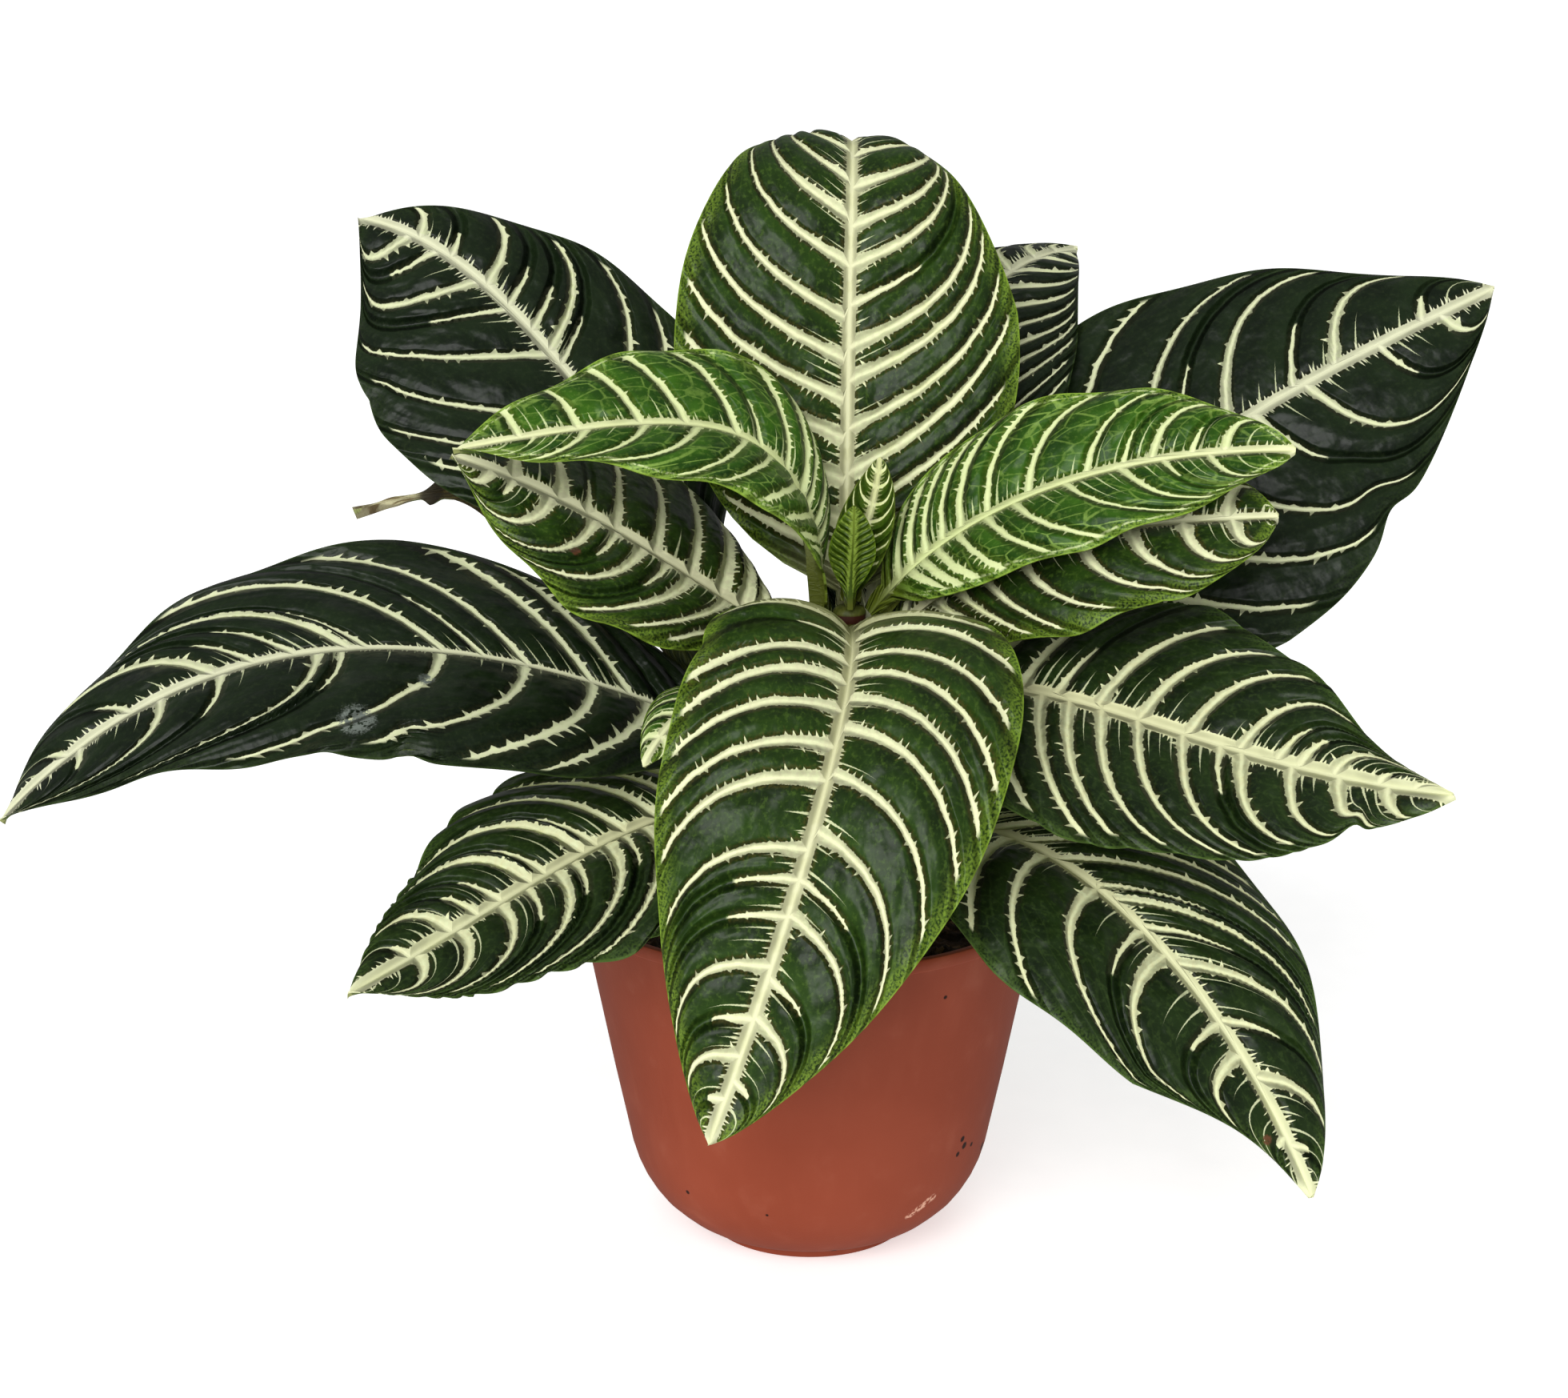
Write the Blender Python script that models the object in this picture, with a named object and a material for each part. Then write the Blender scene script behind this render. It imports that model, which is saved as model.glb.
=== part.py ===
"""Potted zebra plant: a short leafy stem with white-veined leaves, rooted in a round plastic pot.

Metres, +Z up. The origin is the middle of the pot's underside, on the surface it stands on.
The plant's front looks along -Y, and +X is to its right. A compass angle is 0 along +X and
90 along +Y, the back.
"""

from dataclasses import dataclass
import math

import bmesh
import bpy
import numpy as np

# Pot
RIM_RADIUS = 0.0725
POT_HEIGHT = 0.1105
WALL = 0.0016
FOOT_RADIUS = 0.0312
FLOOR = 0.0062
DRAIN_HOLES = 5
DRAIN_RADIUS = 0.0035
DRAIN_CIRCLE = 0.0205
INSIDE_LEVELS = (FLOOR, 0.0110, 0.0175, 0.0260, 0.0550)
INSIDE_RADII = (0.0360, 0.0432, 0.0492, 0.0534, 0.0599)
POT_SIDES = 40

# Soil and stem
GAP = 0.0003
SOIL_TOP = 0.0985
SOIL_LUMP = 0.0018
STEM_FOOT = 0.070
STEM_TOP = 0.2012
STEM_LEAN = ((STEM_FOOT, 0.0035), (0.120, 0.0055), (STEM_TOP, 0.0120))
STEM_RADII = ((STEM_FOOT, 0.0056), (0.100, 0.0054), (STEM_TOP, 0.0042))
NODE_SWELLING = 0.0009
NODE_HEIGHTS = (0.125, 0.139, 0.148, 0.160, 0.169, 0.185, 0.192, 0.1985)
STEM_SIDES = 12
STEM_HOLE_RADIUS = 0.0066
STEM_HOLE_DEPTH = 0.08
NODE_BELOW = 0.0010
NODE_ABOVE = 0.0014
NODE_SPREAD = 0.0042

# Leaves
BLADE = 0.0008
STALK_HALF_WIDTH = 0.0028
STALK_DEPTH = 0.0036
KEEL_AT_TIP = 0.0005
TIP_HALF_WIDTH = 0.0007
KEEL_HALF_WIDTH = 0.0030
BUD_OFFSET = 0.0022
SEATING_ROUNDS = 5
RELIEF_FULL_WIDTH = 0.020
WAVE_LENGTH = 3.3
RAIL_STEPS = 160


@dataclass
class Leaf:
    """One leaf. Lengths are metres, angles degrees, and its left half is the one on the left
    when it points away from the onlooker with its upper face up."""

    name: str
    height: float
    azimuth: float
    tip: tuple
    rise: float
    dip: float
    width: float
    pairs: int
    end_azimuth: float = None
    reach: tuple = (0.40, 0.40)
    widest: float = 0.46
    point: float = 1.0
    stalk: float = 0.07
    crowding: float = 1.1
    sweep: float = 0.20
    bend: float = 0.7
    left: tuple = (16, 10, 16)
    right: tuple = (16, 10, 16)
    roll: tuple = (0, 0)
    quilt: float = 0.0014
    wave: float = 0.0015
    across: int = 3


LEAVES = (
    Leaf("bud_leaf_front", 0.2023, -90, (0.0130, -0.0085, 0.2345), 84, 86, 0.0140, 5,
         left=(10, 10, 10), right=(10, 10, 10), quilt=0.0003, wave=0, across=2, stalk=0.16),
    Leaf("bud_leaf_back", 0.2023, 80, (0.0210, 0.0050, 0.2465), 72, 70, 0.0150, 5,
         left=(30, 30, 0), right=(30, 30, 0), quilt=0.0004, wave=0, across=2, stalk=0.10),
    Leaf("leaf_young_left", 0.1990, 188, (-0.1045, -0.0300, 0.2555), 86, -9, 0.067, 9,
         reach=(0.53, 0.62), roll=(-20, -25), left=(24, 22, 6), right=(26, 10, 10),
         widest=0.38, stalk=0.14, sweep=0.28, quilt=0.0010),
    Leaf("leaf_young_right", 0.1990, -4, (0.1430, -0.0180, 0.2530), 54, 0, 0.064, 9,
         reach=(0.34, 0.36), roll=(30, 40), left=(30, 16, 6), right=(24, 20, 16),
         widest=0.40, sweep=0.28, quilt=0.0010),
    Leaf("leaf_top_back", 0.1920, 90, (0.0140, 0.1180, 0.3280), 64, -16, 0.108, 9,
         reach=(0.52, 0.46), roll=(-8, 0), right=(18, 18, 22), widest=0.39, sweep=0.36,
         bend=0.35),
    Leaf("leaf_front", 0.1962, -88, (-0.0292, -0.1190, 0.0755), 8, -66, 0.1050, 9,
         end_azimuth=-150, reach=(0.50, 0.46), crowding=1.35, stalk=0.02, widest=0.33,
         point=0.87, sweep=0.25, bend=1.0, left=(34, 6, 14), right=(50, 12, 14)),
    Leaf("leaf_mid_left", 0.1850, 188, (-0.1060, -0.0200, 0.2520), 30, 20, 0.078, 9,
         roll=(-6, -42), stalk=0.12, sweep=0.28, left=(10, 4, 10), right=(10, -18, 24)),
    Leaf("leaf_mid_right", 0.1850, -2, (0.1380, -0.0230, 0.2340), 46, 2, 0.072, 9,
         reach=(0.40, 0.40), roll=(30, 27), stalk=0.10, sweep=0.28),
    Leaf("leaf_upper_left", 0.1700, 145, (-0.1470, 0.1050, 0.3060), 36, 6, 0.112, 9,
         end_azimuth=160, reach=(0.39, 0.27), roll=(-10, -45), stalk=0.26, sweep=0.32,
         left=(12, 2, 8), right=(2, -10, 12)),
    Leaf("leaf_right_front", 0.1680, -32, (0.1780, -0.1000, 0.1720), 32, 4, 0.104, 9,
         reach=(0.35, 0.45), roll=(10, 44), left=(8, 8, 6), right=(8, 8, 6), widest=0.40,
         sweep=0.26),
    Leaf("leaf_right_back", 0.1480, 24, (0.2180, 0.0700, 0.2880), 46, 20, 0.128, 9,
         end_azimuth=20, roll=(34, 40), left=(4, 0, 12), right=(4, -4, 8), stalk=0.15,
         sweep=0.36, widest=0.44),
    Leaf("leaf_left_drooping", 0.1480, 192, (-0.2400, -0.0450, 0.1470), 30, -46, 0.102, 9,
         roll=(-20, -26), left=(14, 4, 10), right=(24, -4, 8), reach=(0.36, 0.45),
         sweep=0.45, bend=0.8),
    Leaf("leaf_lower_left", 0.1380, -137, (-0.1290, -0.1150, 0.1190), 22, -12, 0.090, 9,
         roll=(0, -25), widest=0.42, sweep=0.25),
    Leaf("leaf_back_curled", 0.1390, 64, (0.0900, 0.1250, 0.2930), 70, -4, 0.090, 9,
         end_azimuth=48, right=(10, 6, 30), stalk=0.20),
    Leaf("leaf_lower_right", 0.1250, -42, (0.1400, -0.1200, 0.0600), 38, -62, 0.095, 9,
         roll=(0, 25), sweep=0.25),
    Leaf("leaf_hidden_left", 0.1250, 139, (-0.1455, 0.0550, 0.2190), 54, -18, 0.040, 7,
         end_azimuth=185, point=1.8, reach=(0.5, 0.4), roll=(25, 0)),
    Leaf("side_shoot_leaf", 0.1600, -145, (-0.0490, -0.0560, 0.1670), 40, -60, 0.034, 5,
         quilt=0.0006, wave=0, across=2),
)


def remove_startup_objects():
    """Empties the scene before anything is made."""
    for obj in list(bpy.data.objects):
        bpy.data.objects.remove(obj, do_unlink=True)


def material(name, colour, roughness):
    """One plain Principled finish."""
    made = bpy.data.materials.new(name)
    made.use_nodes = True
    shader = made.node_tree.nodes["Principled BSDF"]
    shader.inputs["Base Color"].default_value = (*colour, 1.0)
    shader.inputs["Roughness"].default_value = roughness
    shader.inputs["Metallic"].default_value = 0.0
    return made


def add_object(name, points, faces, finish):
    """A mesh object in the scene, shaded smooth except at its sharp edges."""
    mesh = bpy.data.meshes.new(name)
    mesh.from_pydata([tuple(map(float, point)) for point in points], [], faces)
    mesh.validate()
    mesh.materials.append(finish)
    mesh.shade_smooth()
    mesh.set_sharp_from_angle(angle=math.radians(40))
    obj = bpy.data.objects.new(name, mesh)
    bpy.context.scene.collection.objects.link(obj)
    return obj


def rings_mesh(rings):
    """Faces over closed rings of points, lowest first, with a fan over each end."""
    sides = len(rings[0])
    points = [point for ring in rings for point in ring]
    faces = []
    for row in range(len(rings) - 1):
        for side in range(sides):
            near = row * sides + side
            beside = row * sides + (side + 1) % sides
            faces.append((near, beside, beside + sides, near + sides))
    for ring, ending in ((rings[0], 0), (rings[-1], len(rings) - 1)):
        centre = len(points)
        points.append(np.mean(ring, axis=0))
        for side in range(sides):
            near = ending * sides + side
            beside = ending * sides + (side + 1) % sides
            faces.append((centre, beside, near) if ending == 0 else (centre, near, beside))
    return points, faces


def circle(radius, height, sides=POT_SIDES, middle=(0.0, 0.0)):
    """A level ring of points."""
    angles = np.arange(sides) * math.tau / sides
    return np.stack([middle[0] + radius * np.cos(angles),
                     middle[1] + radius * np.sin(angles),
                     np.full(sides, height)], axis=1)


def pot_outside():
    """Radius and height up the outside of the pot, from its underside to its rim."""
    return (
        (FOOT_RADIUS, 0.0),
        (FOOT_RADIUS + 0.0010, 0.0036),
        (0.0385, 0.0052),
        (0.0448, 0.0100),
        (0.0505, 0.0165),
        (0.0548, 0.0250),
        (0.0615, 0.0550),
        (RIM_RADIUS - 0.0010, POT_HEIGHT - 0.0042),
        (RIM_RADIUS, POT_HEIGHT - 0.0034),
        (RIM_RADIUS, POT_HEIGHT - 0.0005),
        (RIM_RADIUS - 0.0005, POT_HEIGHT),
    )


def pot_inside_radius(height):
    """Radius of the pot's inner wall at a height."""
    mouth = RIM_RADIUS - 0.0010 - WALL
    return float(np.interp(height, (*INSIDE_LEVELS, POT_HEIGHT), (*INSIDE_RADII, mouth)))


def add_drain_cutter(angle):
    """A plain rod that cuts one drain hole through the pot's floor."""
    mesh = bpy.data.meshes.new("drain_cutter")
    shape = bmesh.new()
    bmesh.ops.create_cone(shape, cap_ends=True, segments=12, radius1=DRAIN_RADIUS,
                          radius2=DRAIN_RADIUS, depth=3 * FLOOR)
    shape.to_mesh(mesh)
    shape.free()
    cutter = bpy.data.objects.new("drain_cutter", mesh)
    cutter.location = (DRAIN_CIRCLE * math.cos(angle), DRAIN_CIRCLE * math.sin(angle), 0.0)
    cutter.hide_render = True
    cutter.display_type = "WIRE"
    bpy.context.scene.collection.objects.link(cutter)
    return cutter


def add_pot():
    """Thin round pot: a foot, a rounded shoulder, a tapered wall and a small rolled rim."""
    rings = [circle(radius, height) for radius, height in pot_outside()]
    rings += [circle(pot_inside_radius(height), height)
              for height in (POT_HEIGHT, *INSIDE_LEVELS[::-1])]
    points, faces = rings_mesh(rings)
    pot = add_object("pot", points, faces, material("pot_plastic", (0.30, 0.075, 0.04), 0.5))
    for hole in range(DRAIN_HOLES):
        cut = pot.modifiers.new(f"drain_{hole + 1}", "BOOLEAN")
        cut.object = add_drain_cutter(hole * math.tau / DRAIN_HOLES)
        cut.operation = "DIFFERENCE"
    return pot


def stem_centre(height):
    """The stem's middle at a height: it leans a little to the right."""
    heights, leans = zip(*STEM_LEAN)
    return np.array([np.interp(height, heights, leans), 0.0, height])


def stem_profile():
    """Height and radius up the stem, which swells into a ring at each node."""
    heights, radii = zip(*STEM_RADII)
    swellings = [(STEM_FOOT, 0.0), (0.100, 0.0)]
    for height in NODE_HEIGHTS:
        swellings += [(height - NODE_SPREAD, 0.0), (height - NODE_BELOW, NODE_SWELLING),
                      (height + NODE_ABOVE, NODE_SWELLING)]
    swellings.append((STEM_TOP, 0.0))
    return [(height, np.interp(height, heights, radii) + swelling)
            for height, swelling in swellings]


def soil_height(x, y):
    """The lumpy top of the soil, lowest along the wall."""
    lumps = math.sin(190 * x + 1.3) * math.cos(160 * y + 0.4)
    lumps += 0.6 * math.sin(410 * x - 2.0) * math.sin(370 * y + 1.1)
    return SOIL_TOP + SOIL_LUMP * lumps / 1.6


def add_soil():
    """Soil that fills the pot, with a plain round hole that the stem stands in."""
    levels = (FLOOR + GAP, *INSIDE_LEVELS[1:])
    rings = [circle(pot_inside_radius(height) - 1.5 * GAP, height) for height in levels]
    top_radius = pot_inside_radius(SOIL_TOP - SOIL_LUMP) - 1.5 * GAP
    for share in (1.0, 0.8, 0.58, 0.36):
        ring = circle(top_radius * share, 0.0)
        for point in ring:
            point[2] = soil_height(point[0], point[1])
        rings.append(ring)
    points, faces = rings_mesh(rings)
    soil = add_object("soil", points, faces, material("soil_mix", (0.03, 0.02, 0.013), 0.95))
    mesh = bpy.data.meshes.new("stem_hole")
    shape = bmesh.new()
    bmesh.ops.create_cone(shape, cap_ends=True, segments=16, radius1=STEM_HOLE_RADIUS,
                          radius2=STEM_HOLE_RADIUS, depth=STEM_HOLE_DEPTH)
    shape.to_mesh(mesh)
    shape.free()
    hole = bpy.data.objects.new("stem_hole", mesh)
    hole.location = (stem_centre(0.090)[0], 0.0, STEM_FOOT - GAP + STEM_HOLE_DEPTH / 2)
    hole.hide_render = True
    hole.display_type = "WIRE"
    bpy.context.scene.collection.objects.link(hole)
    cut = soil.modifiers.new("stem_hole", "BOOLEAN")
    cut.object = hole
    cut.operation = "DIFFERENCE"
    return soil


def add_stem():
    """A leaning round stem with a swollen ring where each pair of leaves joins it."""
    rings = [circle(radius, height, STEM_SIDES, stem_centre(height))
             for height, radius in stem_profile()]
    points, faces = rings_mesh(rings)
    return add_object("stem", points, faces, material("stem_bark", (0.11, 0.10, 0.035), 0.6))


def heading(azimuth, rise):
    """Unit vector at a compass angle and an angle above level."""
    azimuth, rise = math.radians(azimuth), math.radians(rise)
    return np.array([math.cos(azimuth) * math.cos(rise),
                     math.sin(azimuth) * math.cos(rise), math.sin(rise)])


def midrib(leaf, outward):
    """Evenly spaced points along the midrib, with the directions to its left and up.

    The stalk's foot lies at a distance outward from the middle of the stem."""
    foot = stem_centre(leaf.height) + outward * heading(leaf.azimuth, 0)
    tip = np.array(leaf.tip)
    chord = np.linalg.norm(tip - foot)
    end_azimuth = leaf.azimuth if leaf.end_azimuth is None else leaf.end_azimuth
    leave = foot + heading(leaf.azimuth, leaf.rise) * chord * leaf.reach[0]
    arrive = tip - heading(end_azimuth, leaf.dip) * chord * leaf.reach[1]
    u = np.linspace(0, 1, 4 * RAIL_STEPS)[:, None]
    curve = (1 - u) ** 3 * foot + 3 * (1 - u) ** 2 * u * leave
    curve += 3 * (1 - u) * u ** 2 * arrive + u ** 3 * tip
    lengths = np.append(0, np.cumsum(np.linalg.norm(np.diff(curve, axis=0), axis=1)))
    places = np.linspace(0, lengths[-1], RAIL_STEPS + 1)
    centre = np.stack([np.interp(places, lengths, curve[:, axis]) for axis in range(3)], axis=1)
    along = np.gradient(centre, axis=0)
    along /= np.linalg.norm(along, axis=1)[:, None]
    left = np.empty_like(along)
    side = heading(leaf.azimuth + 90, 0)
    for step, direction in enumerate(along):
        side = side - direction * (side @ direction)
        side /= np.linalg.norm(side)
        left[step] = side
    up = np.cross(along, left)
    turn = np.radians(np.linspace(leaf.roll[0], leaf.roll[1], RAIL_STEPS + 1))[:, None]
    rolled_left = left * np.cos(turn) + up * np.sin(turn)
    rolled_up = up * np.cos(turn) - left * np.sin(turn)
    return centre, rolled_left, rolled_up


def at(rail, place):
    """Values of a rail at places from 0, the stalk's foot, to 1, the leaf's tip."""
    steps = np.linspace(0, 1, len(rail))
    return np.stack([np.interp(place, steps, rail[:, axis]) for axis in range(3)], axis=-1)


def half_width(leaf, place):
    """Half the leaf's width at places along it."""
    x = np.clip((place - leaf.stalk) / (1 - leaf.stalk), 0, 1)
    rise = leaf.point * leaf.widest / (1 - leaf.widest)
    peak = leaf.widest ** rise * (1 - leaf.widest) ** leaf.point
    blade = leaf.width / 2 * x ** rise * (1 - x) ** leaf.point / peak
    stalk = STALK_HALF_WIDTH * (1 - place) ** 0.7 + TIP_HALF_WIDTH
    return blade + stalk * (1 - np.clip(blade / RELIEF_FULL_WIDTH, 0, 1))


def vein_place(leaf, vein):
    """Where side vein number 1, 2, ... leaves the midrib, from 0 to 1 along the leaf."""
    last = leaf.pairs + 1
    share = np.clip(vein, 0, last) / last
    blade_start = leaf.stalk * 0.9
    on_blade = blade_start + (1 - blade_start) * share ** leaf.crowding
    return np.where(vein < 0, blade_start * (1 + vein), on_blade)


def leaf_point(leaf, rails, vein, across):
    """Upper and lower face at vein numbers and places across, -1 at the right margin."""
    centre, left, up = rails
    start = vein_place(leaf, vein)
    size = np.abs(across)
    forward = leaf.sweep * (1 - np.exp(-np.clip(vein, 0, None) / 0.8)) * (1 - start)
    place = start + forward * ((1 - leaf.bend) * size + leaf.bend * size ** 3)
    half = half_width(leaf, place)
    at_stalk, at_tip, curl = (
        np.radians(np.where(across > 0, on_left, on_right))
        for on_left, on_right in zip(leaf.left, leaf.right)
    )
    fold = at_tip + (at_stalk - at_tip) * (1 - place) ** 1.5
    turn = fold + curl + 1e-4
    outward = half * (np.sin(fold) - np.sin(fold - turn * size)) / turn
    lift = half * (np.cos(fold - turn * size) - np.cos(fold)) / turn
    ridge = 0.5 - 0.5 * np.cos(2 * math.pi * np.clip(vein, 0, leaf.pairs + 1))
    full = np.clip(half / RELIEF_FULL_WIDTH, 0, 1)
    lift = lift + leaf.quilt * ridge * np.clip(size / 0.25, 0, 1) * full
    swing = 2 * math.pi * vein / WAVE_LENGTH + 2 * np.sign(across)
    lift = lift + leaf.wave * size ** 3 * np.sin(swing)
    side = np.sign(across)[..., None]
    top = at(centre, place) + at(left, place) * outward[..., None] * side
    top = top + at(up, place) * lift[..., None]
    slope = (fold - turn * size)[..., None]
    normal = at(up, place) * np.cos(slope) - at(left, place) * np.sin(slope) * side
    near_rib = 1 - np.clip(size * half / KEEL_HALF_WIDTH, 0, 1)
    keel = (STALK_DEPTH * (1 - place) ** 1.3 + KEEL_AT_TIP) * near_rib
    return top, top - normal * (BLADE + keel)[..., None]


def clearance(points):
    """The least distance from points to the stem, negative inside it."""
    heights, radii = zip(*stem_profile())
    lean_heights, leans = zip(*STEM_LEAN)
    beside = points[points[:, 2] < STEM_TOP]
    middle = np.interp(beside[:, 2], lean_heights, leans)
    from_axis = np.hypot(beside[:, 0] - middle, beside[:, 1])
    return (from_axis - np.interp(beside[:, 2], heights, radii)).min()


def seated(leaf):
    """The midrib of a leaf whose stalk stands just off the stem, or on its top for a bud."""
    if leaf.height > STEM_TOP:
        return midrib(leaf, BUD_OFFSET)
    vein, across = np.meshgrid(np.linspace(-1, 0, 9), np.linspace(-1, 1, 9))
    outward = STEM_RADII[0][1] + NODE_SWELLING + GAP
    for _ in range(SEATING_ROUNDS):
        faces = leaf_point(leaf, midrib(leaf, outward), vein, across)
        outward += GAP - clearance(np.concatenate(faces).reshape(-1, 3))
    return midrib(leaf, outward)


def leaf_columns(leaf, half):
    """Places across the leaf for one row: the midrib, the edge of its keel and the blade."""
    keel_edge = np.clip(KEEL_HALF_WIDTH / half, 0.12, 0.45)
    spread = np.linspace(0, 1, leaf.across)
    right_to_mid = keel_edge + (1 - keel_edge) * spread
    return np.concatenate([-right_to_mid[::-1], [0.0], right_to_mid])


def leaf_mesh(leaf):
    """Points and faces of one leaf as a closed solid, split alike on both faces."""
    rails = seated(leaf)
    veins = np.concatenate([[-1.0, -0.5], np.arange(0, 2 * leaf.pairs + 3) / 2])
    half = half_width(leaf, vein_place(leaf, veins))
    across = np.stack([leaf_columns(leaf, width) for width in half])
    vein = np.repeat(veins[:, None], across.shape[1], axis=1)
    top, bottom = leaf_point(leaf, rails, vein, across)
    rows, columns = across.shape
    points = np.concatenate([top.reshape(-1, 3), bottom.reshape(-1, 3)])
    under = rows * columns
    faces = []
    for row in range(rows - 1):
        for column in range(columns - 1):
            a = row * columns + column
            b, c, d = a + 1, a + columns + 1, a + columns
            if column < columns // 2:
                halves = ((a, d, b), (b, d, c))
            else:
                halves = ((a, c, b), (a, d, c))
            for one, two, three in halves:
                faces.append((one, three, two))
                faces.append((one + under, two + under, three + under))
    edge = [row * columns for row in range(rows)]
    edge += [(rows - 1) * columns + column for column in range(1, columns)]
    edge += [row * columns + columns - 1 for row in range(rows - 2, -1, -1)]
    edge += list(range(columns - 2, 0, -1))
    for near, far in zip(edge, edge[1:] + edge[:1]):
        faces.append((near, far + under, near + under))
        faces.append((near, far, far + under))
    return points, faces


def facing_out(points, faces):
    """The same faces, turned round if together they enclose a negative volume."""
    corners = points[np.array(faces)]
    volume = np.einsum("ij,ij->i", corners[:, 0], np.cross(corners[:, 1], corners[:, 2])).sum()
    return faces if volume > 0 else [face[::-1] for face in faces]


def add_leaves():
    """Every leaf as its own object."""
    young = material("young_leaf", (0.10, 0.17, 0.05), 0.4)
    mature = material("mature_leaf", (0.035, 0.07, 0.02), 0.4)
    for leaf in LEAVES:
        points, faces = leaf_mesh(leaf)
        fresh = "young" in leaf.name or "bud" in leaf.name or "shoot" in leaf.name
        add_object(leaf.name, points, facing_out(points, faces), young if fresh else mature)


def main():
    """Builds the whole plant."""
    remove_startup_objects()
    add_pot()
    add_soil()
    add_stem()
    add_leaves()


main()
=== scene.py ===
# %% [markdown]
# A potted zebra plant, dressed for its portrait.
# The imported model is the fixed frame: a pot, soil, a short stem and seventeen plain leaves.
# Each plain leaf is replaced by a finer one that keeps its form, and the cells below build
# them one step at a time. Everything is in metres, +Z is up, and the front looks along -Y.

# %% Load the fixed frame
import math
from dataclasses import dataclass
from functools import cached_property

import bpy
import numpy as np
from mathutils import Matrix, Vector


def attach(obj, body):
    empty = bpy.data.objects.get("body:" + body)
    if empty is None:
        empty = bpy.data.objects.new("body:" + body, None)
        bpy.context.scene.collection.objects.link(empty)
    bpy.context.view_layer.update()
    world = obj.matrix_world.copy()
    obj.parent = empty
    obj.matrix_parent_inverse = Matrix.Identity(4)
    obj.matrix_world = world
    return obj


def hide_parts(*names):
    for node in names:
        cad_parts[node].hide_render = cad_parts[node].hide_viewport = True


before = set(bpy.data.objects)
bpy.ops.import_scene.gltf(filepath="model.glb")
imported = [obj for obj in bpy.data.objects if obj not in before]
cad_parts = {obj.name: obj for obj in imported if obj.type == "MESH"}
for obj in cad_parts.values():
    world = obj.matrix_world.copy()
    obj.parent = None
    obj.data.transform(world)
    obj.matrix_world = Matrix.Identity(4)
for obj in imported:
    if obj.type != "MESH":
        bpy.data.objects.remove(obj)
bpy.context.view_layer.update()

# %% [markdown]
# The photograph looks slightly down on the plant from straight in front.
# A long lens keeps the leaves near the camera from looking too large, so the camera stands
# almost a metre away with a 75 mm lens on a full-frame sensor.

# %% Camera
CAMERA_PLACE = (-0.008, -0.9636, 0.4392)
CAMERA_DROP = 15.5
LENS = 74.77


def add_camera():
    """The camera at the photograph's viewing angle."""
    lens = bpy.data.cameras.new("camera")
    lens.lens = LENS
    lens.sensor_width = 36.0
    lens.sensor_fit = "HORIZONTAL"
    camera = bpy.data.objects.new("camera", lens)
    camera.location = CAMERA_PLACE
    camera.rotation_euler = (math.radians(90 - CAMERA_DROP), 0, 0)
    bpy.context.scene.collection.objects.link(camera)
    bpy.context.scene.camera = camera
    return camera


print("camera at", tuple(add_camera().location))

# %% [markdown]
# A material is a network of nodes. Written as node calls it is long and hard to read, so two
# small helpers come first. The first is a Signal, a number on its way through the network.
# Sums, products and comparisons of signals add Math nodes, so a network reads like arithmetic.

# %% A number in a material
def screen(red, green, blue):
    """A colour given as on a screen, 0 to 255, turned into the light that Blender counts in."""
    shares = [value / 255 for value in (red, green, blue)]
    light = [s / 12.92 if s <= 0.04045 else ((s + 0.055) / 1.055) ** 2.4 for s in shares]
    return (*light, 1.0)


class Signal:
    """A number that flows between the nodes of a finish."""

    def __init__(self, finish, socket):
        self.finish = finish
        self.socket = socket

    def math(self, operation, *others):
        """One Math node that takes this signal and others."""
        node = self.finish.tree.nodes.new("ShaderNodeMath")
        node.operation = operation
        for value, inlet in zip((self, *others), node.inputs):
            self.finish.feed(inlet, value)
        return Signal(self.finish, node.outputs[0])

    def __add__(self, other):
        return self.math("ADD", other)

    def __sub__(self, other):
        return self.math("SUBTRACT", other)

    def __rsub__(self, other):
        return (self * -1.0) + other

    def __mul__(self, other):
        return self.math("MULTIPLY", other)

    def __truediv__(self, other):
        return self.math("DIVIDE", other)

    def __pow__(self, power):
        return self.math("POWER", power)

    def size(self):
        """The signal without its sign."""
        return self.math("ABSOLUTE")

    def sign(self):
        """1, 0 or -1."""
        return self.math("SIGN")

    def nearest(self):
        """The whole number beside the signal."""
        return self.math("ROUND")

    def below(self):
        """The whole number just below the signal."""
        return self.math("FLOOR")

    def least(self, other):
        """The smaller of two."""
        return self.math("MINIMUM", other)

    def most(self, other):
        """The larger of two."""
        return self.math("MAXIMUM", other)

    def between(self, low, high):
        """0 below low, 1 above high, and a smooth rise between them."""
        node = self.finish.tree.nodes.new("ShaderNodeMapRange")
        node.interpolation_type = "SMOOTHSTEP"
        self.finish.feed(node.inputs["Value"], self)
        self.finish.feed(node.inputs["From Min"], low)
        self.finish.feed(node.inputs["From Max"], high)
        return Signal(self.finish, node.outputs["Result"])


print("middle grey as light:", round(screen(128, 128, 128)[0], 3))

# %% [markdown]
# The second helper is a Finish, which is one material. Its methods add the textures that the
# signals come from, and join them to the shader's colour, gloss and relief.

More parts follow.
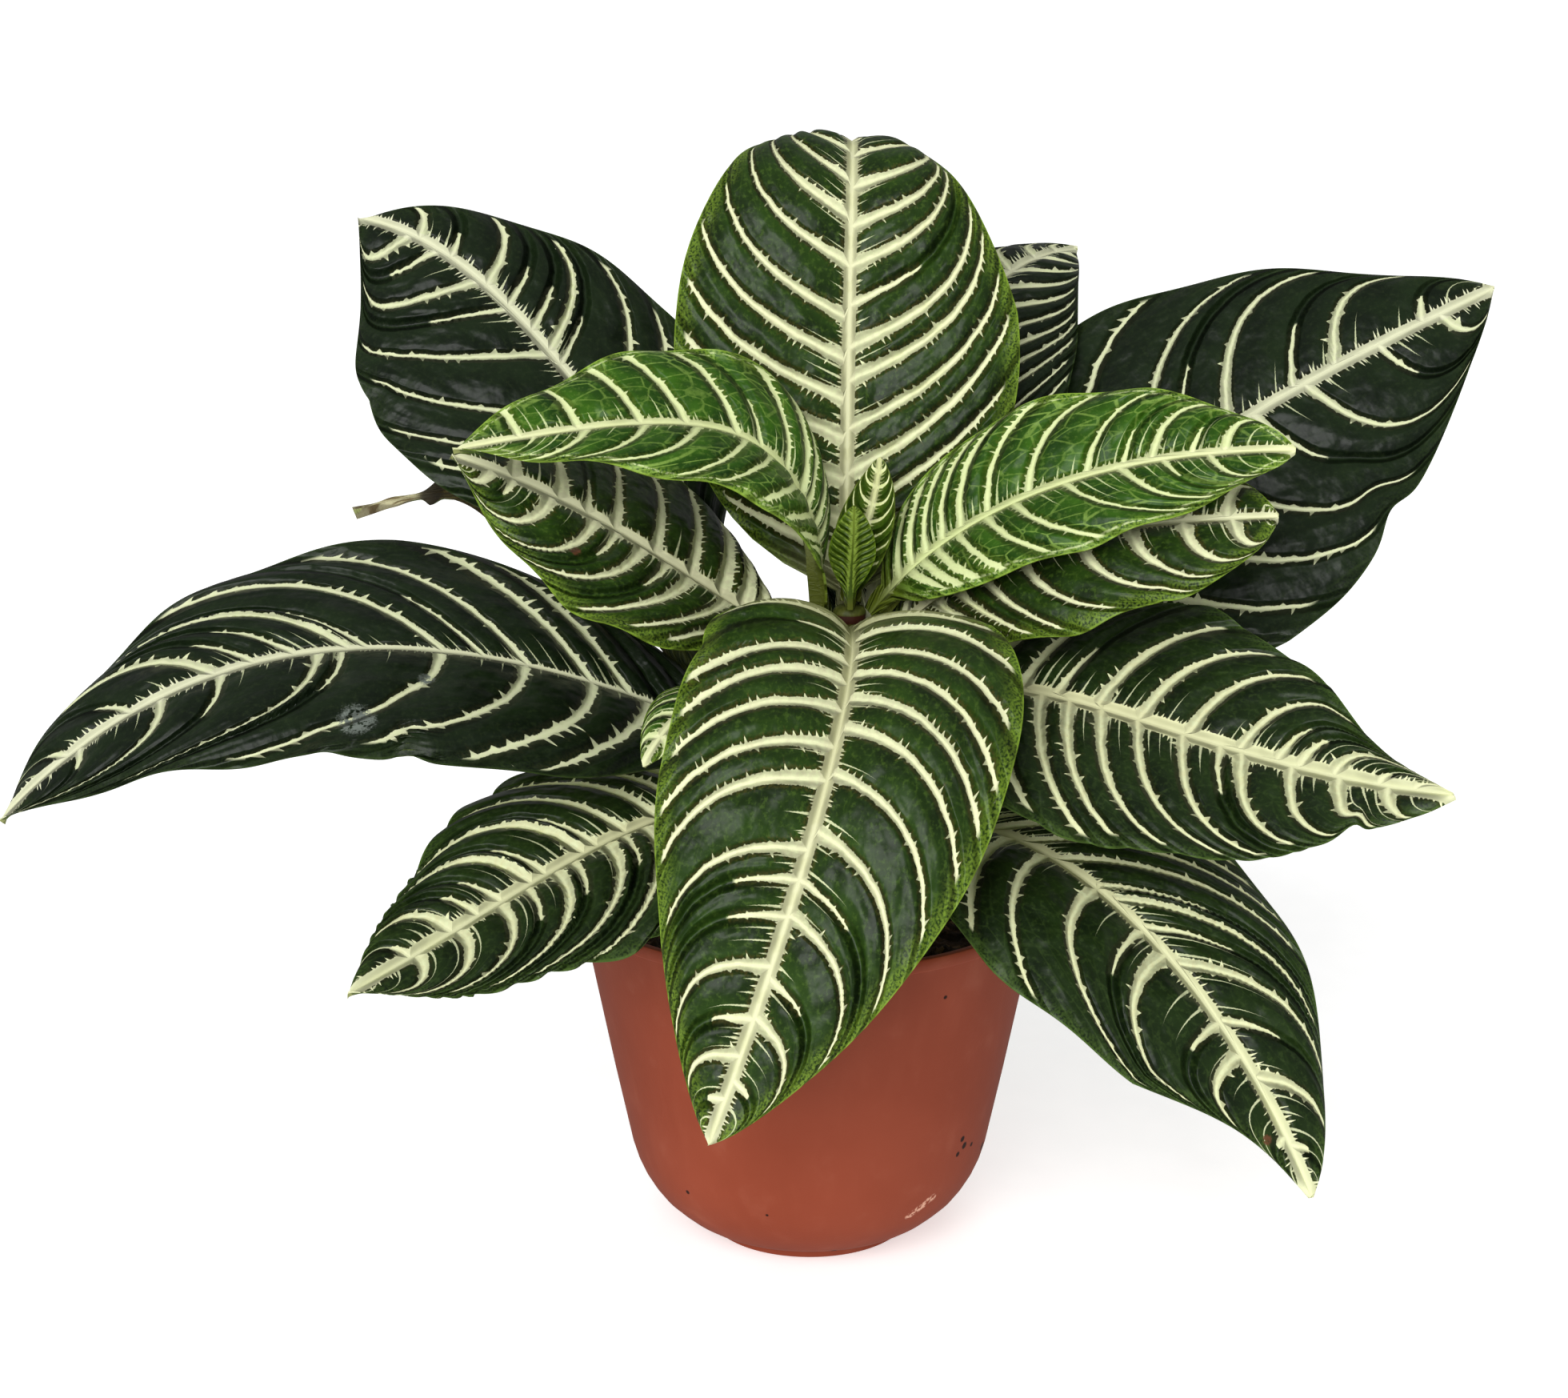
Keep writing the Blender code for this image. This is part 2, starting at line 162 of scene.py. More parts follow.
# %% One material
class Finish:
    """One material and the helpers that add its nodes."""

    def __init__(self, name):
        self.material = bpy.data.materials.new(name)
        self.material.use_nodes = True
        self.tree = self.material.node_tree
        self.shader = self.tree.nodes["Principled BSDF"]

    def feed(self, inlet, value):
        """Sets a socket to a value, or links a signal or another socket to it."""
        if isinstance(value, Signal):
            self.tree.links.new(value.socket, inlet)
        elif isinstance(value, bpy.types.NodeSocket):
            self.tree.links.new(value, inlet)
        else:
            inlet.default_value = value

    def add(self, kind, inputs=None, **settings):
        """One node with its settings and inputs."""
        node = self.tree.nodes.new(kind)
        for name, value in settings.items():
            setattr(node, name, value)
        for name, value in (inputs or {}).items():
            self.feed(node.inputs[name], value)
        return node

    def split(self, vector):
        """The three parts of a vector or colour."""
        node = self.add("ShaderNodeSeparateXYZ", {"Vector": vector})
        return [Signal(self, outlet) for outlet in node.outputs]

    def join(self, x, y, z=0.0):
        """A vector made of three parts."""
        return self.add("ShaderNodeCombineXYZ", {"X": x, "Y": y, "Z": z}).outputs[0]

    def attribute(self, name):
        """The three parts of a named attribute of the mesh."""
        node = self.add("ShaderNodeAttribute", attribute_name=name)
        return self.split(node.outputs["Vector"])

    def where(self):
        """Object coordinates, in metres."""
        return self.add("ShaderNodeTexCoord").outputs["Object"]

    def noise(self, vector, scale, detail=2.0, roughness=0.5):
        """Soft noise, mostly between 0.3 and 0.7."""
        node = self.add("ShaderNodeTexNoise", {
            "Vector": vector, "Scale": scale, "Detail": detail, "Roughness": roughness,
        })
        return Signal(self, node.outputs[0])

    def cells(self, vector, scale):
        """Distance to the middle of the nearest cell of a pattern, and its chance value."""
        node = self.add("ShaderNodeTexVoronoi", {"Vector": vector, "Scale": scale})
        return Signal(self, node.outputs["Distance"]), self.split(node.outputs["Color"])[0]

    def chance(self, x, y):
        """Two chance values from 0 to 1 for each pair of whole numbers."""
        node = self.add("ShaderNodeTexWhiteNoise", {"Vector": self.join(x, y)})
        return self.split(node.outputs["Color"])[:2]

    def spot(self, centre, radius):
        """1 inside a round spot of the surface, given in metres, and 0 outside it."""
        node = self.add("ShaderNodeVectorMath", {0: self.where(), 1: centre},
                        operation="DISTANCE")
        return 1.0 - Signal(self, node.outputs["Value"]).between(radius * 0.6, radius)

    def blend(self, share, first, second):
        """The first colour, turning into the second as share goes from 0 to 1."""
        node = self.add("ShaderNodeMix", data_type="RGBA")
        self.feed(node.inputs[0], share)
        self.feed(node.inputs[6], first)
        self.feed(node.inputs[7], second)
        return node.outputs[2]

    def relief(self, height_mm, strength=1.0):
        """Bumps of a height in millimetres on the shader."""
        node = self.add("ShaderNodeBump", {
            "Height": height_mm, "Distance": 0.001, "Strength": strength,
        })
        self.tree.links.new(node.outputs["Normal"], self.shader.inputs["Normal"])

    def colour(self, value):
        """The base colour."""
        self.feed(self.shader.inputs["Base Color"], value)

    def gloss(self, roughness, specular=0.5):
        """How rough the surface is, and how strongly it mirrors."""
        self.feed(self.shader.inputs["Roughness"], roughness)
        self.shader.inputs["Specular IOR Level"].default_value = specular


print("material helpers ready")

# %% [markdown]
# The photograph is cut out on white and lit by soft daylight from in front and above. Leaves
# mirror whatever stands round them, and a bright even sky would lay a grey haze on their dark
# green. So most of the light comes from one broad soft sun, which shines back only from the
# tops of the puckers, and the sky is dim except where the camera looks straight at it. The
# floor and the two lamps give light but aren't mirrored either.

# %% Floor and light
FLOOR_SIZE = 60.0
FLOOR_GLOW = 0.52
SUN_FROM = (-0.38, -1.0, 0.78)
SUN_STRENGTH = 2.6
SUN_ANGLE = 46
SKY_STRENGTH = 0.24
LAMPS = (
    ("side_light", (1.6, -0.5, 1.0), 1.0, 4.0),
    ("back_light", (0.2, 1.6, 1.8), 1.4, 6.0),
)
AIM = (0.0, 0.0, 0.16)


def add_floor():
    """A wide white floor that the pot stands on."""
    bpy.ops.object.select_all(action="DESELECT")
    bpy.ops.mesh.primitive_plane_add(size=FLOOR_SIZE, location=(0, 0, 0))
    floor = bpy.context.object
    floor.name = "floor"
    finish = Finish("pale_floor")
    grain = finish.noise(finish.where(), 60.0, 3.0)
    paper, chalk = screen(248, 248, 248), screen(252, 252, 252)
    finish.colour(finish.blend(grain.between(0.3, 0.7), paper, chalk))
    finish.gloss(0.95, 0.05)
    finish.shader.inputs["Emission Color"].default_value = (1.0, 1.0, 1.0, 1.0)
    finish.shader.inputs["Emission Strength"].default_value = FLOOR_GLOW
    floor.data.materials.append(finish.material)
    floor.visible_glossy = False


def add_light(light, place):
    """Puts a light at a place and points it at the middle of the plant."""
    lamp = bpy.data.objects.new(light.name, light)
    lamp.location = place
    towards = Vector(AIM) - Vector(place)
    lamp.rotation_euler = towards.to_track_quat("-Z", "Y").to_euler()
    bpy.context.scene.collection.objects.link(lamp)
    return lamp


def add_sun():
    """A sun so broad that it acts as a whole window front."""
    light = bpy.data.lights.new("window_light", "SUN")
    light.energy = SUN_STRENGTH
    light.angle = math.radians(SUN_ANGLE)
    add_light(light, SUN_FROM)


def add_lamp(name, place, size, power):
    """One large square lamp."""
    light = bpy.data.lights.new(name, "AREA")
    light.shape = "SQUARE"
    light.size = size
    light.energy = power
    add_light(light, place).visible_glossy = False


def light_the_sky(strength):
    """An even sky, white where the camera sees it and dimmer as a light."""
    world = bpy.data.worlds.new("soft_sky")
    world.use_nodes = True
    tree = world.node_tree
    sky = tree.nodes["Background"]
    sky.inputs["Color"].default_value = (1.0, 1.0, 1.0, 1.0)
    rays = tree.nodes.new("ShaderNodeLightPath")
    choose = tree.nodes.new("ShaderNodeMapRange")
    choose.inputs["To Min"].default_value = strength
    choose.inputs["To Max"].default_value = 1.0
    tree.links.new(rays.outputs["Is Camera Ray"], choose.inputs["Value"])
    tree.links.new(choose.outputs["Result"], sky.inputs["Strength"])
    bpy.context.scene.world = world


add_floor()
add_sun()
for lamp in LAMPS:
    add_lamp(*lamp)
light_the_sky(SKY_STRENGTH)
bpy.context.scene.view_settings.view_transform = "Standard"
print("floor, sky, sun and", len(LAMPS), "lamps")

# %% [markdown]
# Every leaf is described by a handful of sizes: where its stalk joins the stem, which way it
# leaves, where its tip is, how wide it is and how its two halves fold and curl.
# They start from the sizes that the frame's plain leaves were made from. The finer leaf adds
# where each white side vein leaves the midrib, the leaf's age, and its ripples.

# %% Sizes of the stem
STEM_FOOT = 0.070
STEM_AT_SOIL = 0.100
STEM_TOP = 0.2012
STEM_LEAN = ((STEM_FOOT, 0.0035), (0.120, 0.0055), (STEM_TOP, 0.0120))
STEM_RADII = ((STEM_FOOT, 0.0056), (STEM_AT_SOIL, 0.0054), (STEM_TOP, 0.0042))
NODE_SWELLING = 0.0009
NODE_HEIGHTS = (0.125, 0.139, 0.148, 0.160, 0.169, 0.185, 0.192, 0.1985)
NODE_BELOW = 0.0010
NODE_ABOVE = 0.0014
NODE_SPREAD = 0.0042
GAP = 0.0003


def stem_centre(height):
    """The stem's middle at a height: it leans a little to the right."""
    heights, leans = zip(*STEM_LEAN)
    return np.array([np.interp(height, heights, leans), 0.0, height])


def stem_profile():
    """Height and radius up the stem, which swells into a ring at each node."""
    heights, radii = zip(*STEM_RADII)
    swellings = [(STEM_FOOT, 0.0), (STEM_AT_SOIL, 0.0)]
    for height in NODE_HEIGHTS:
        swellings += [(height - NODE_SPREAD, 0.0), (height - NODE_BELOW, NODE_SWELLING),
                      (height + NODE_ABOVE, NODE_SWELLING)]
    swellings.append((STEM_TOP, 0.0))
    return [(height, np.interp(height, heights, radii) + swelling)
            for height, swelling in swellings]


print("points of the stem's profile:", len(stem_profile()))

# %% [markdown]
# The two halves of a leaf differ. Each has its own fold and curl, its own white veins, and
# its own margin. A vein leaves the midrib at one place and swings forward to another at the
# margin, and the lead is how far ahead that is, in shares of the leaf's length. Weak veins
# are thin and stop half way.

# %% The leaves of the plant
@dataclass
class Half:
    """One half of a leaf. Places are shares of the leaf's length from the stalk's foot."""

    fold: tuple = (16, 10, 16)
    veins: tuple = (0.14, 0.22, 0.30, 0.38, 0.47, 0.56, 0.66, 0.77, 0.88)
    weak: tuple = ()
    lead: tuple = (0.08, 0.18, 0.25, 0.15)
    arc: float = 0.7
    trim: tuple = (1.0, 1.0, 1.0, 1.0, 1.0)
    notches: tuple = ()


@dataclass
class Leaf:
    """One leaf. Lengths are metres, angles degrees, and its left half is the one on the left
    when it points away from the onlooker with its upper face up."""

    name: str
    height: float
    azimuth: float
    tip: tuple
    rise: float
    dip: float
    width: float
    pairs: int
    left: Half
    right: Half
    end_azimuth: float = None
    reach: tuple = (0.40, 0.40)
    widest: float = 0.46
    point: float = 1.0
    stalk: float = 0.07
    crowding: float = 1.1
    sweep: float = 0.20
    bend: float = 0.7
    roll: tuple = (0, 0)
    quilt: float = 0.0014
    wave: float = 0.0015
    scallop: float = 0.0
    age: str = "mature"
    rib: tuple = (1.0, 1.0)


BUD_VEINS = (0.17, 0.24, 0.31, 0.38, 0.45, 0.52, 0.59, 0.66, 0.73, 0.80, 0.87, 0.93)
BUD_TRIM = (0.5, 0.7, 0.85, 0.85, 0.9)
BACK_VEINS = (0.24, 0.30, 0.36, 0.42, 0.48, 0.54, 0.60, 0.66, 0.72, 0.78, 0.84, 0.90, 0.95)
LEAVES = (
    Leaf("bud_leaf_front", 0.2023, -90, (0.0130, -0.0085, 0.2345), 84, 86, 0.0140, 5,
         Half((10, 10, 10), BUD_VEINS, (), (0.10, 0.12, 0.12, 0.08), 0.3, BUD_TRIM),
         Half((10, 10, 10), BUD_VEINS, (), (0.10, 0.12, 0.12, 0.08), 0.3, BUD_TRIM),
         quilt=0.0003, wave=0, stalk=0.16, age="bud"),
    Leaf("bud_leaf_back", 0.2023, 80, (0.0210, 0.0050, 0.2465), 72, 70, 0.0150, 5,
         Half((30, 30, 0), (0.2, 0.32, 0.44, 0.56, 0.68, 0.8, 0.9)),
         Half((30, 30, 0), (0.2, 0.32, 0.44, 0.56, 0.68, 0.8, 0.9)),
         quilt=0.0004, wave=0, stalk=0.10, age="opening"),
    Leaf("leaf_young_left", 0.1990, 188, (-0.1045, -0.0300, 0.2555), 86, -9, 0.067, 9,
         Half((24, 22, 6), (0.12, 0.15, 0.21, 0.28, 0.36, 0.42, 0.52, 0.625, 0.74, 0.84),
              (0.84,), (0.05, 0.12, 0.24, 0.13), 0.6, (1, 1, 0.95, 0.75, 0.6)),
         Half((26, 10, 10), (0.15, 0.18, 0.225, 0.255, 0.31, 0.385, 0.44, 0.545, 0.635,
                             0.755, 0.87), (0.385,), (0.05, 0.10, 0.12, 0.05), 0.2),
         reach=(0.53, 0.62), roll=(-20, -25), widest=0.38, stalk=0.10, sweep=0.28,
         quilt=0.0010, age="young"),
    Leaf("leaf_young_right", 0.1990, -4, (0.1430, -0.0180, 0.2530), 54, 0, 0.064, 9,
         Half((30, 16, 6), (0.10, 0.14, 0.18, 0.225, 0.27, 0.335, 0.43, 0.56, 0.64, 0.70,
                            0.785, 0.85), (0.64, 0.785),
              (0.08, 0.15, 0.21, 0.12), 0.5, (1, 1, 1, 1.08, 1.3)),
         Half((24, 20, 16), (0.13, 0.165, 0.205, 0.26, 0.33, 0.395, 0.51, 0.635, 0.725,
                             0.82), (0.725,), (0.05, 0.08, 0.30, 0.16), 0.65,
              (1, 0.9, 0.88, 1, 1.25)),
         reach=(0.34, 0.36), roll=(30, 40), widest=0.40, sweep=0.28, quilt=0.0010,
         age="young"),
    Leaf("leaf_top_back", 0.1920, 90, (0.0140, 0.1180, 0.3280), 64, -16, 0.108, 9,
         Half((16, 20, 16), (0.11, 0.17, 0.235, 0.30, 0.358, 0.42, 0.485, 0.572, 0.65, 0.72,
                             0.80, 0.88), (), (0.08, 0.16, 0.27, 0.24), 0.5,
              (1, 1, 1.03, 1.10, 1.3)),
         Half((18, 18, 22), (0.12, 0.18, 0.245, 0.315, 0.39, 0.442, 0.508, 0.57, 0.635,
                             0.705, 0.785, 0.87), (0.508,), (0.15, 0.28, 0.25, 0.07), 0.6,
              (1, 1, 1, 0.88, 0.7)),
         reach=(0.52, 0.46), roll=(-8, 0), widest=0.39, sweep=0.36, bend=0.35,
         wave=0.0006),
    Leaf("leaf_front", 0.1962, -88, (-0.0292, -0.1190, 0.0755), 8, -66, 0.1050, 9,
         Half((34, 6, 14), (0.03, 0.07, 0.13, 0.20, 0.25, 0.305, 0.36, 0.435, 0.525, 0.60,
                            0.65, 0.745, 0.805, 0.90), (0.60, 0.745, 0.90),
              (0.05, 0.20, 0.25, 0.18), 0.65),
         Half((50, 12, 14), (0.04, 0.09, 0.15, 0.22, 0.27, 0.33, 0.395, 0.45, 0.555, 0.60,
                             0.655, 0.73, 0.81, 0.865, 0.93), (0.15, 0.60, 0.655, 0.81, 0.93),
              (0.02, 0.13, 0.22, 0.14), 0.75, (1.15, 0.88, 0.97, 1.02, 1)),
         end_azimuth=-150, reach=(0.50, 0.46), crowding=1.35, stalk=0.02, widest=0.33,
         point=0.87, sweep=0.25, bend=1.0, rib=(1.0, 1.0, 1.05, 1.15, 1.2)),
    Leaf("leaf_mid_left", 0.1850, 188, (-0.1060, -0.0200, 0.2520), 30, 20, 0.078, 9,
         Half((10, 4, 10), (0.14, 0.21, 0.28, 0.385, 0.445, 0.515, 0.585, 0.64, 0.755, 0.85,
                            0.905), (0.445, 0.585, 0.85), (0.14, 0.26, 0.30, 0.20), 0.8,
              (1, 1.1, 1.12, 1.1, 1)),
         Half((46, -18, 20), (0.10, 0.145, 0.19, 0.235, 0.295, 0.38, 0.48, 0.59, 0.665, 0.735,
                              0.85), (0.665,), (0.02, 0.03, 0.03, 0.05), 0.7,
              (1.8, 1.75, 1.45, 1.15, 1)),
         roll=(-6, -42), stalk=0.12, sweep=0.28, rib=(1.0, 1.4, 1.6, 1.6, 1.5)),
    Leaf("leaf_mid_right", 0.1850, -2, (0.1380, -0.0230, 0.2340), 46, 2, 0.072, 9,
         Half(veins=(0.12, 0.19, 0.26, 0.34, 0.44, 0.555, 0.67, 0.785, 0.89),
              trim=(1, 1, 1, 1.05, 1.8)),
         Half(veins=(0.10, 0.155, 0.21, 0.265, 0.335, 0.43, 0.565, 0.68, 0.795, 0.90),
              lead=(0.10, 0.18, 0.30, 0.19), arc=0.8, trim=(1, 1, 1, 1.05, 1.8)),
         reach=(0.40, 0.40), roll=(30, 27), stalk=0.10, sweep=0.28, rib=(0.7, 0.9)),
    Leaf("leaf_upper_left", 0.1700, 145, (-0.1470, 0.1050, 0.3060), 36, 6, 0.112, 9,
         Half((12, 2, 8), (0.32, 0.40, 0.50, 0.632, 0.725, 0.785, 0.865, 0.915),
              (0.725, 0.865), (0.15, 0.28, 0.32, 0.21), 0.4, (1, 1, 1.03, 1.15, 1.7)),
         Half((2, -10, 12), (0.34, 0.42, 0.50, 0.615, 0.64, 0.68, 0.73, 0.775, 0.845, 0.90),
              (0.615, 0.68, 0.73, 0.845), (0.12, 0.22, 0.24, 0.09), 0.4,
              (1, 0.95, 0.88, 0.75, 0.6)),
         end_azimuth=160, reach=(0.39, 0.27), roll=(-10, -45), stalk=0.26, sweep=0.32,
         age="old"),
    Leaf("leaf_right_front", 0.1680, -32, (0.1780, -0.1000, 0.1720), 32, 4, 0.104, 9,
         Half((8, 8, 6), (0.16, 0.23, 0.30, 0.36, 0.43, 0.50, 0.58, 0.665, 0.725, 0.76, 0.815,
                          0.885, 0.94), (0.36, 0.725, 0.76, 0.885, 0.94),
              (0.03, 0.05, 0.16, 0.17), 0.8, (1, 1, 1, 0.85, 0.35)),
         Half((8, 8, 6), (0.20, 0.27, 0.34, 0.385, 0.44, 0.50, 0.575, 0.635, 0.67, 0.75,
                          0.825, 0.90), (0.635,), (0.15, 0.19, 0.24, 0.12), 0.5,
              notches=((0.878, 0.20, 0.015),)),
         reach=(0.35, 0.45), roll=(10, 44), widest=0.40, sweep=0.26, scallop=0.02,
         age="aged", rib=(0.9, 1.3, 1.45, 1.4, 1.2)),
    Leaf("leaf_right_back", 0.1480, 24, (0.2180, 0.0700, 0.2880), 46, 20, 0.128, 9,
         Half((4, 0, 12), (0.22, 0.31, 0.40, 0.50, 0.55, 0.615, 0.71, 0.77, 0.895),
              (0.55, 0.71, 0.895), (0.15, 0.22, 0.28, 0.17), 0.4),
         Half((4, -4, 8), (0.20, 0.28, 0.36, 0.45, 0.55, 0.65, 0.725, 0.83, 0.92),
              (0.65, 0.83), (0.12, 0.20, 0.30, 0.20), 0.75, (1, 1, 1.08, 1.03, 1),
              ((0.72, 0.07, 0.03),)),
         end_azimuth=20, roll=(34, 40), stalk=0.15, sweep=0.36, widest=0.44, age="old"),
    Leaf("leaf_left_drooping", 0.1480, 192, (-0.2400, -0.0450, 0.1470), 30, -46, 0.102, 9,
         Half((14, 4, 10), (0.22, 0.285, 0.365, 0.46, 0.57, 0.595, 0.705, 0.775, 0.88),
              (0.57, 0.705, 0.88), (0.08, 0.14, 0.33, 0.28), 0.95, (1, 1.18, 1, 1, 1),
              ((0.50, 0.06, 0.02), (0.60, 0.03, 0.02), (0.30, -0.06, 0.05))),
         Half((24, -4, 8), (0.24, 0.285, 0.36, 0.41, 0.455, 0.54, 0.56, 0.62, 0.665, 0.71,
                            0.81, 0.895), (0.41, 0.54, 0.62, 0.665, 0.81, 0.895),
              (0.10, 0.18, 0.34, 0.16), 0.35, (1, 1.02, 1.12, 1.1, 1)),
         roll=(-20, -26), reach=(0.36, 0.45), sweep=0.45, bend=0.8, age="old",
         rib=(0.4, 0.45, 0.55, 1.2, 1.2)),
    Leaf("leaf_lower_left", 0.1380, -137, (-0.1290, -0.1150, 0.1190), 22, -12, 0.090, 9,
         Half((16, 10, 16), (0.18, 0.25, 0.32, 0.40, 0.44, 0.475, 0.545, 0.58, 0.64, 0.695,
                             0.78, 0.865), (0.44, 0.545, 0.64), (0.15, 0.22, 0.32, 0.18), 0.8),
         Half((16, 10, 16), (0.16, 0.20, 0.25, 0.30, 0.36, 0.43, 0.49, 0.515, 0.595, 0.625,
                             0.69, 0.735, 0.79, 0.875), (0.49, 0.595, 0.69, 0.735, 0.875),
              (0.05, 0.08, 0.26, 0.14), 0.8, (1, 1.1, 1.1, 0.92, 0.8)),
         roll=(0, -25), widest=0.42, sweep=0.25, scallop=0.07, age="aged",
         rib=(1.3, 1.2)),
    Leaf("leaf_back_curled", 0.1390, 64, (0.0900, 0.1250, 0.2930), 70, -4, 0.090, 9,
         Half((16, 10, 16), BACK_VEINS, (), (0.30, 0.35, 0.30, 0.15), 0.4),
         Half((10, 6, 30), BACK_VEINS, (), (0.30, 0.35, 0.30, 0.15), 0.4),
         end_azimuth=48, stalk=0.20, age="old"),
    Leaf("leaf_lower_right", 0.1250, -42, (0.1400, -0.1200, 0.0600), 38, -62, 0.095, 9,
         Half((16, 10, 16), (0.20, 0.245, 0.29, 0.345, 0.405, 0.475, 0.505, 0.565, 0.635,
                             0.735, 0.825, 0.925), (0.475, 0.565, 0.735, 0.925),
              (0.20, 0.33, 0.33, 0.15), 0.2),
         Half((16, 10, 16), (0.16, 0.22, 0.28, 0.335, 0.395, 0.485, 0.575, 0.62, 0.74, 0.79,
                             0.915), (0.575, 0.74, 0.915), (0.0, 0.02, 0.32, 0.12), 0.9,
              (1, 1, 1, 0.95, 0.4)),
         roll=(0, 25), sweep=0.25, age="aged"),
    Leaf("leaf_hidden_left", 0.1250, 139, (-0.1455, 0.0550, 0.2190), 54, -18, 0.040, 7,
         Half(trim=(1, 1, 1, 1.5, 0.3), notches=((0.87, -0.9, 0.012), (0.93, -0.5, 0.02))),
         Half(trim=(1, 1, 1, 1.5, 0.3), notches=((0.865, -1.2, 0.015), (0.94, -0.8, 0.02))),
         end_azimuth=185, point=1.8, reach=(0.5, 0.4), roll=(25, 0), wave=0.0025,
         age="dried"),
    Leaf("side_shoot_leaf", 0.1600, -145, (-0.0490, -0.0560, 0.1670), 40, -60, 0.034, 5,
         Half(), Half(), quilt=0.0006, wave=0, age="young"),
)
FRONT_LEAF = next(leaf for leaf in LEAVES if leaf.name == "leaf_front")
print("leaves:", len(LEAVES))

# %% [markdown]
# A leaf grows along its midrib. The midrib here is one smooth curve from the stalk's foot to
# the tip, measured into even steps, and it carries two more directions, to the leaf's left
# and up from its face. Any point of the leaf is then a step along, a step out and a lift.

# %% The midrib
RAIL_STEPS = 160
CURVE_STEPS = 640


def heading(azimuth, rise):
    """Unit vector at a compass angle and an angle above level."""
    azimuth, rise = math.radians(azimuth), math.radians(rise)
    return np.array([math.cos(azimuth) * math.cos(rise),
                     math.sin(azimuth) * math.cos(rise), math.sin(rise)])


def midrib(leaf, outward):
    """Evenly spaced points along the midrib, with the directions to its left and up.

    The stalk's foot lies at a distance outward from the middle of the stem."""
    foot = stem_centre(leaf.height) + outward * heading(leaf.azimuth, 0)
    tip = np.array(leaf.tip)
    chord = np.linalg.norm(tip - foot)
    end_azimuth = leaf.azimuth if leaf.end_azimuth is None else leaf.end_azimuth
    leave = foot + heading(leaf.azimuth, leaf.rise) * chord * leaf.reach[0]
    arrive = tip - heading(end_azimuth, leaf.dip) * chord * leaf.reach[1]
    u = np.linspace(0, 1, CURVE_STEPS)[:, None]
    curve = (1 - u) ** 3 * foot + 3 * (1 - u) ** 2 * u * leave
    curve += 3 * (1 - u) * u ** 2 * arrive + u ** 3 * tip
    lengths = np.append(0, np.cumsum(np.linalg.norm(np.diff(curve, axis=0), axis=1)))
    places = np.linspace(0, lengths[-1], RAIL_STEPS + 1)
    centre = np.stack([np.interp(places, lengths, curve[:, axis]) for axis in range(3)], axis=1)
    along = np.gradient(centre, axis=0)
    along /= np.linalg.norm(along, axis=1)[:, None]
    left = np.empty_like(along)
    side = heading(leaf.azimuth + 90, 0)
    for step, direction in enumerate(along):
        side = side - direction * (side @ direction)
        side /= np.linalg.norm(side)
        left[step] = side
    up = np.cross(along, left)
    turn = np.radians(np.linspace(leaf.roll[0], leaf.roll[1], RAIL_STEPS + 1))[:, None]
    rolled_left = left * np.cos(turn) + up * np.sin(turn)
    rolled_up = up * np.cos(turn) - left * np.sin(turn)
    return centre, rolled_left, rolled_up


def at(rail, place):
    """Values of a rail at places from 0, the stalk's foot, to 1, the leaf's tip."""
    steps = np.linspace(0, 1, len(rail))
    return np.stack([np.interp(place, steps, rail[:, axis]) for axis in range(3)], axis=-1)


def rail_length(rails):
    """The length of a midrib."""
    return np.linalg.norm(np.diff(rails[0], axis=0), axis=1).sum()


print("front leaf's midrib:", round(rail_length(midrib(FRONT_LEAF, STEM_RADII[0][1])), 4), "m")

# %% [markdown]
# The blade's outline is a width that swells and shrinks along the midrib. The side veins swing
# forward over it, and any place between two of them is counted as a part of one vein's step,
# which later says where the blade is puffed up and where the white is drawn.

# %% The blade's outline
STALK_HALF_WIDTH = 0.0028
STALK_TAPER = 0.7
TIP_HALF_WIDTH = 0.0007
TIP_LENGTH = 0.03
BLADE_FULL_WIDTH = 0.020
ROWS_START = 0.9
BEYOND_TIP = 1.04


def half_width(leaf, place):
    """Half the leaf's width at places along it."""
    x = np.clip((place - leaf.stalk) / (1 - leaf.stalk), 0, 1)
    rise = leaf.point * leaf.widest / (1 - leaf.widest)
    peak = leaf.widest ** rise * (1 - leaf.widest) ** leaf.point
    blade = leaf.width / 2 * x ** rise * (1 - x) ** leaf.point / peak
    stalk = STALK_HALF_WIDTH * (1 - place) ** STALK_TAPER
    stalk = stalk + TIP_HALF_WIDTH * np.clip((1 - place) / TIP_LENGTH, 0.2, 1)
    return blade + stalk * (1 - np.clip(blade / BLADE_FULL_WIDTH, 0, 1))


def row_number(leaf, start):
    """The plain leaf's row number for places where rows leave the midrib: -1 to pairs + 1."""
    blade_start = leaf.stalk * ROWS_START
    share = np.clip((start - blade_start) / (1 - blade_start), 0, 1)
    on_blade = (leaf.pairs + 1) * share ** (1 / leaf.crowding)
    return np.where(start < blade_start, start / blade_start - 1, on_blade)


def quarters(values, place):
    """A value given at each quarter of the leaf's length, read at a place between them."""
    return np.interp(place, np.linspace(0, 1, len(values)), values)


def vein_number(half, place, size):
    """Counts the white veins of one half: 1 on the first, and parts of one between them."""
    starts = np.array(half.veins)
    leads = quarters((*half.lead, 0), starts)
    count = len(starts)
    number = np.empty_like(place)
    for column in range(place.shape[1]):
        swing = size[0, column]
        here = starts + leads * ((1 - half.arc) * swing + half.arc * swing ** 3)
        before, after = 2 * here[0] - here[1], BEYOND_TIP
        known = np.interp(place[:, column], [before, *here, after], np.arange(count + 2))
        early = (place[:, column] - before) / (here[0] - before)
        number[:, column] = np.where(place[:, column] < before, early, known)
    return number


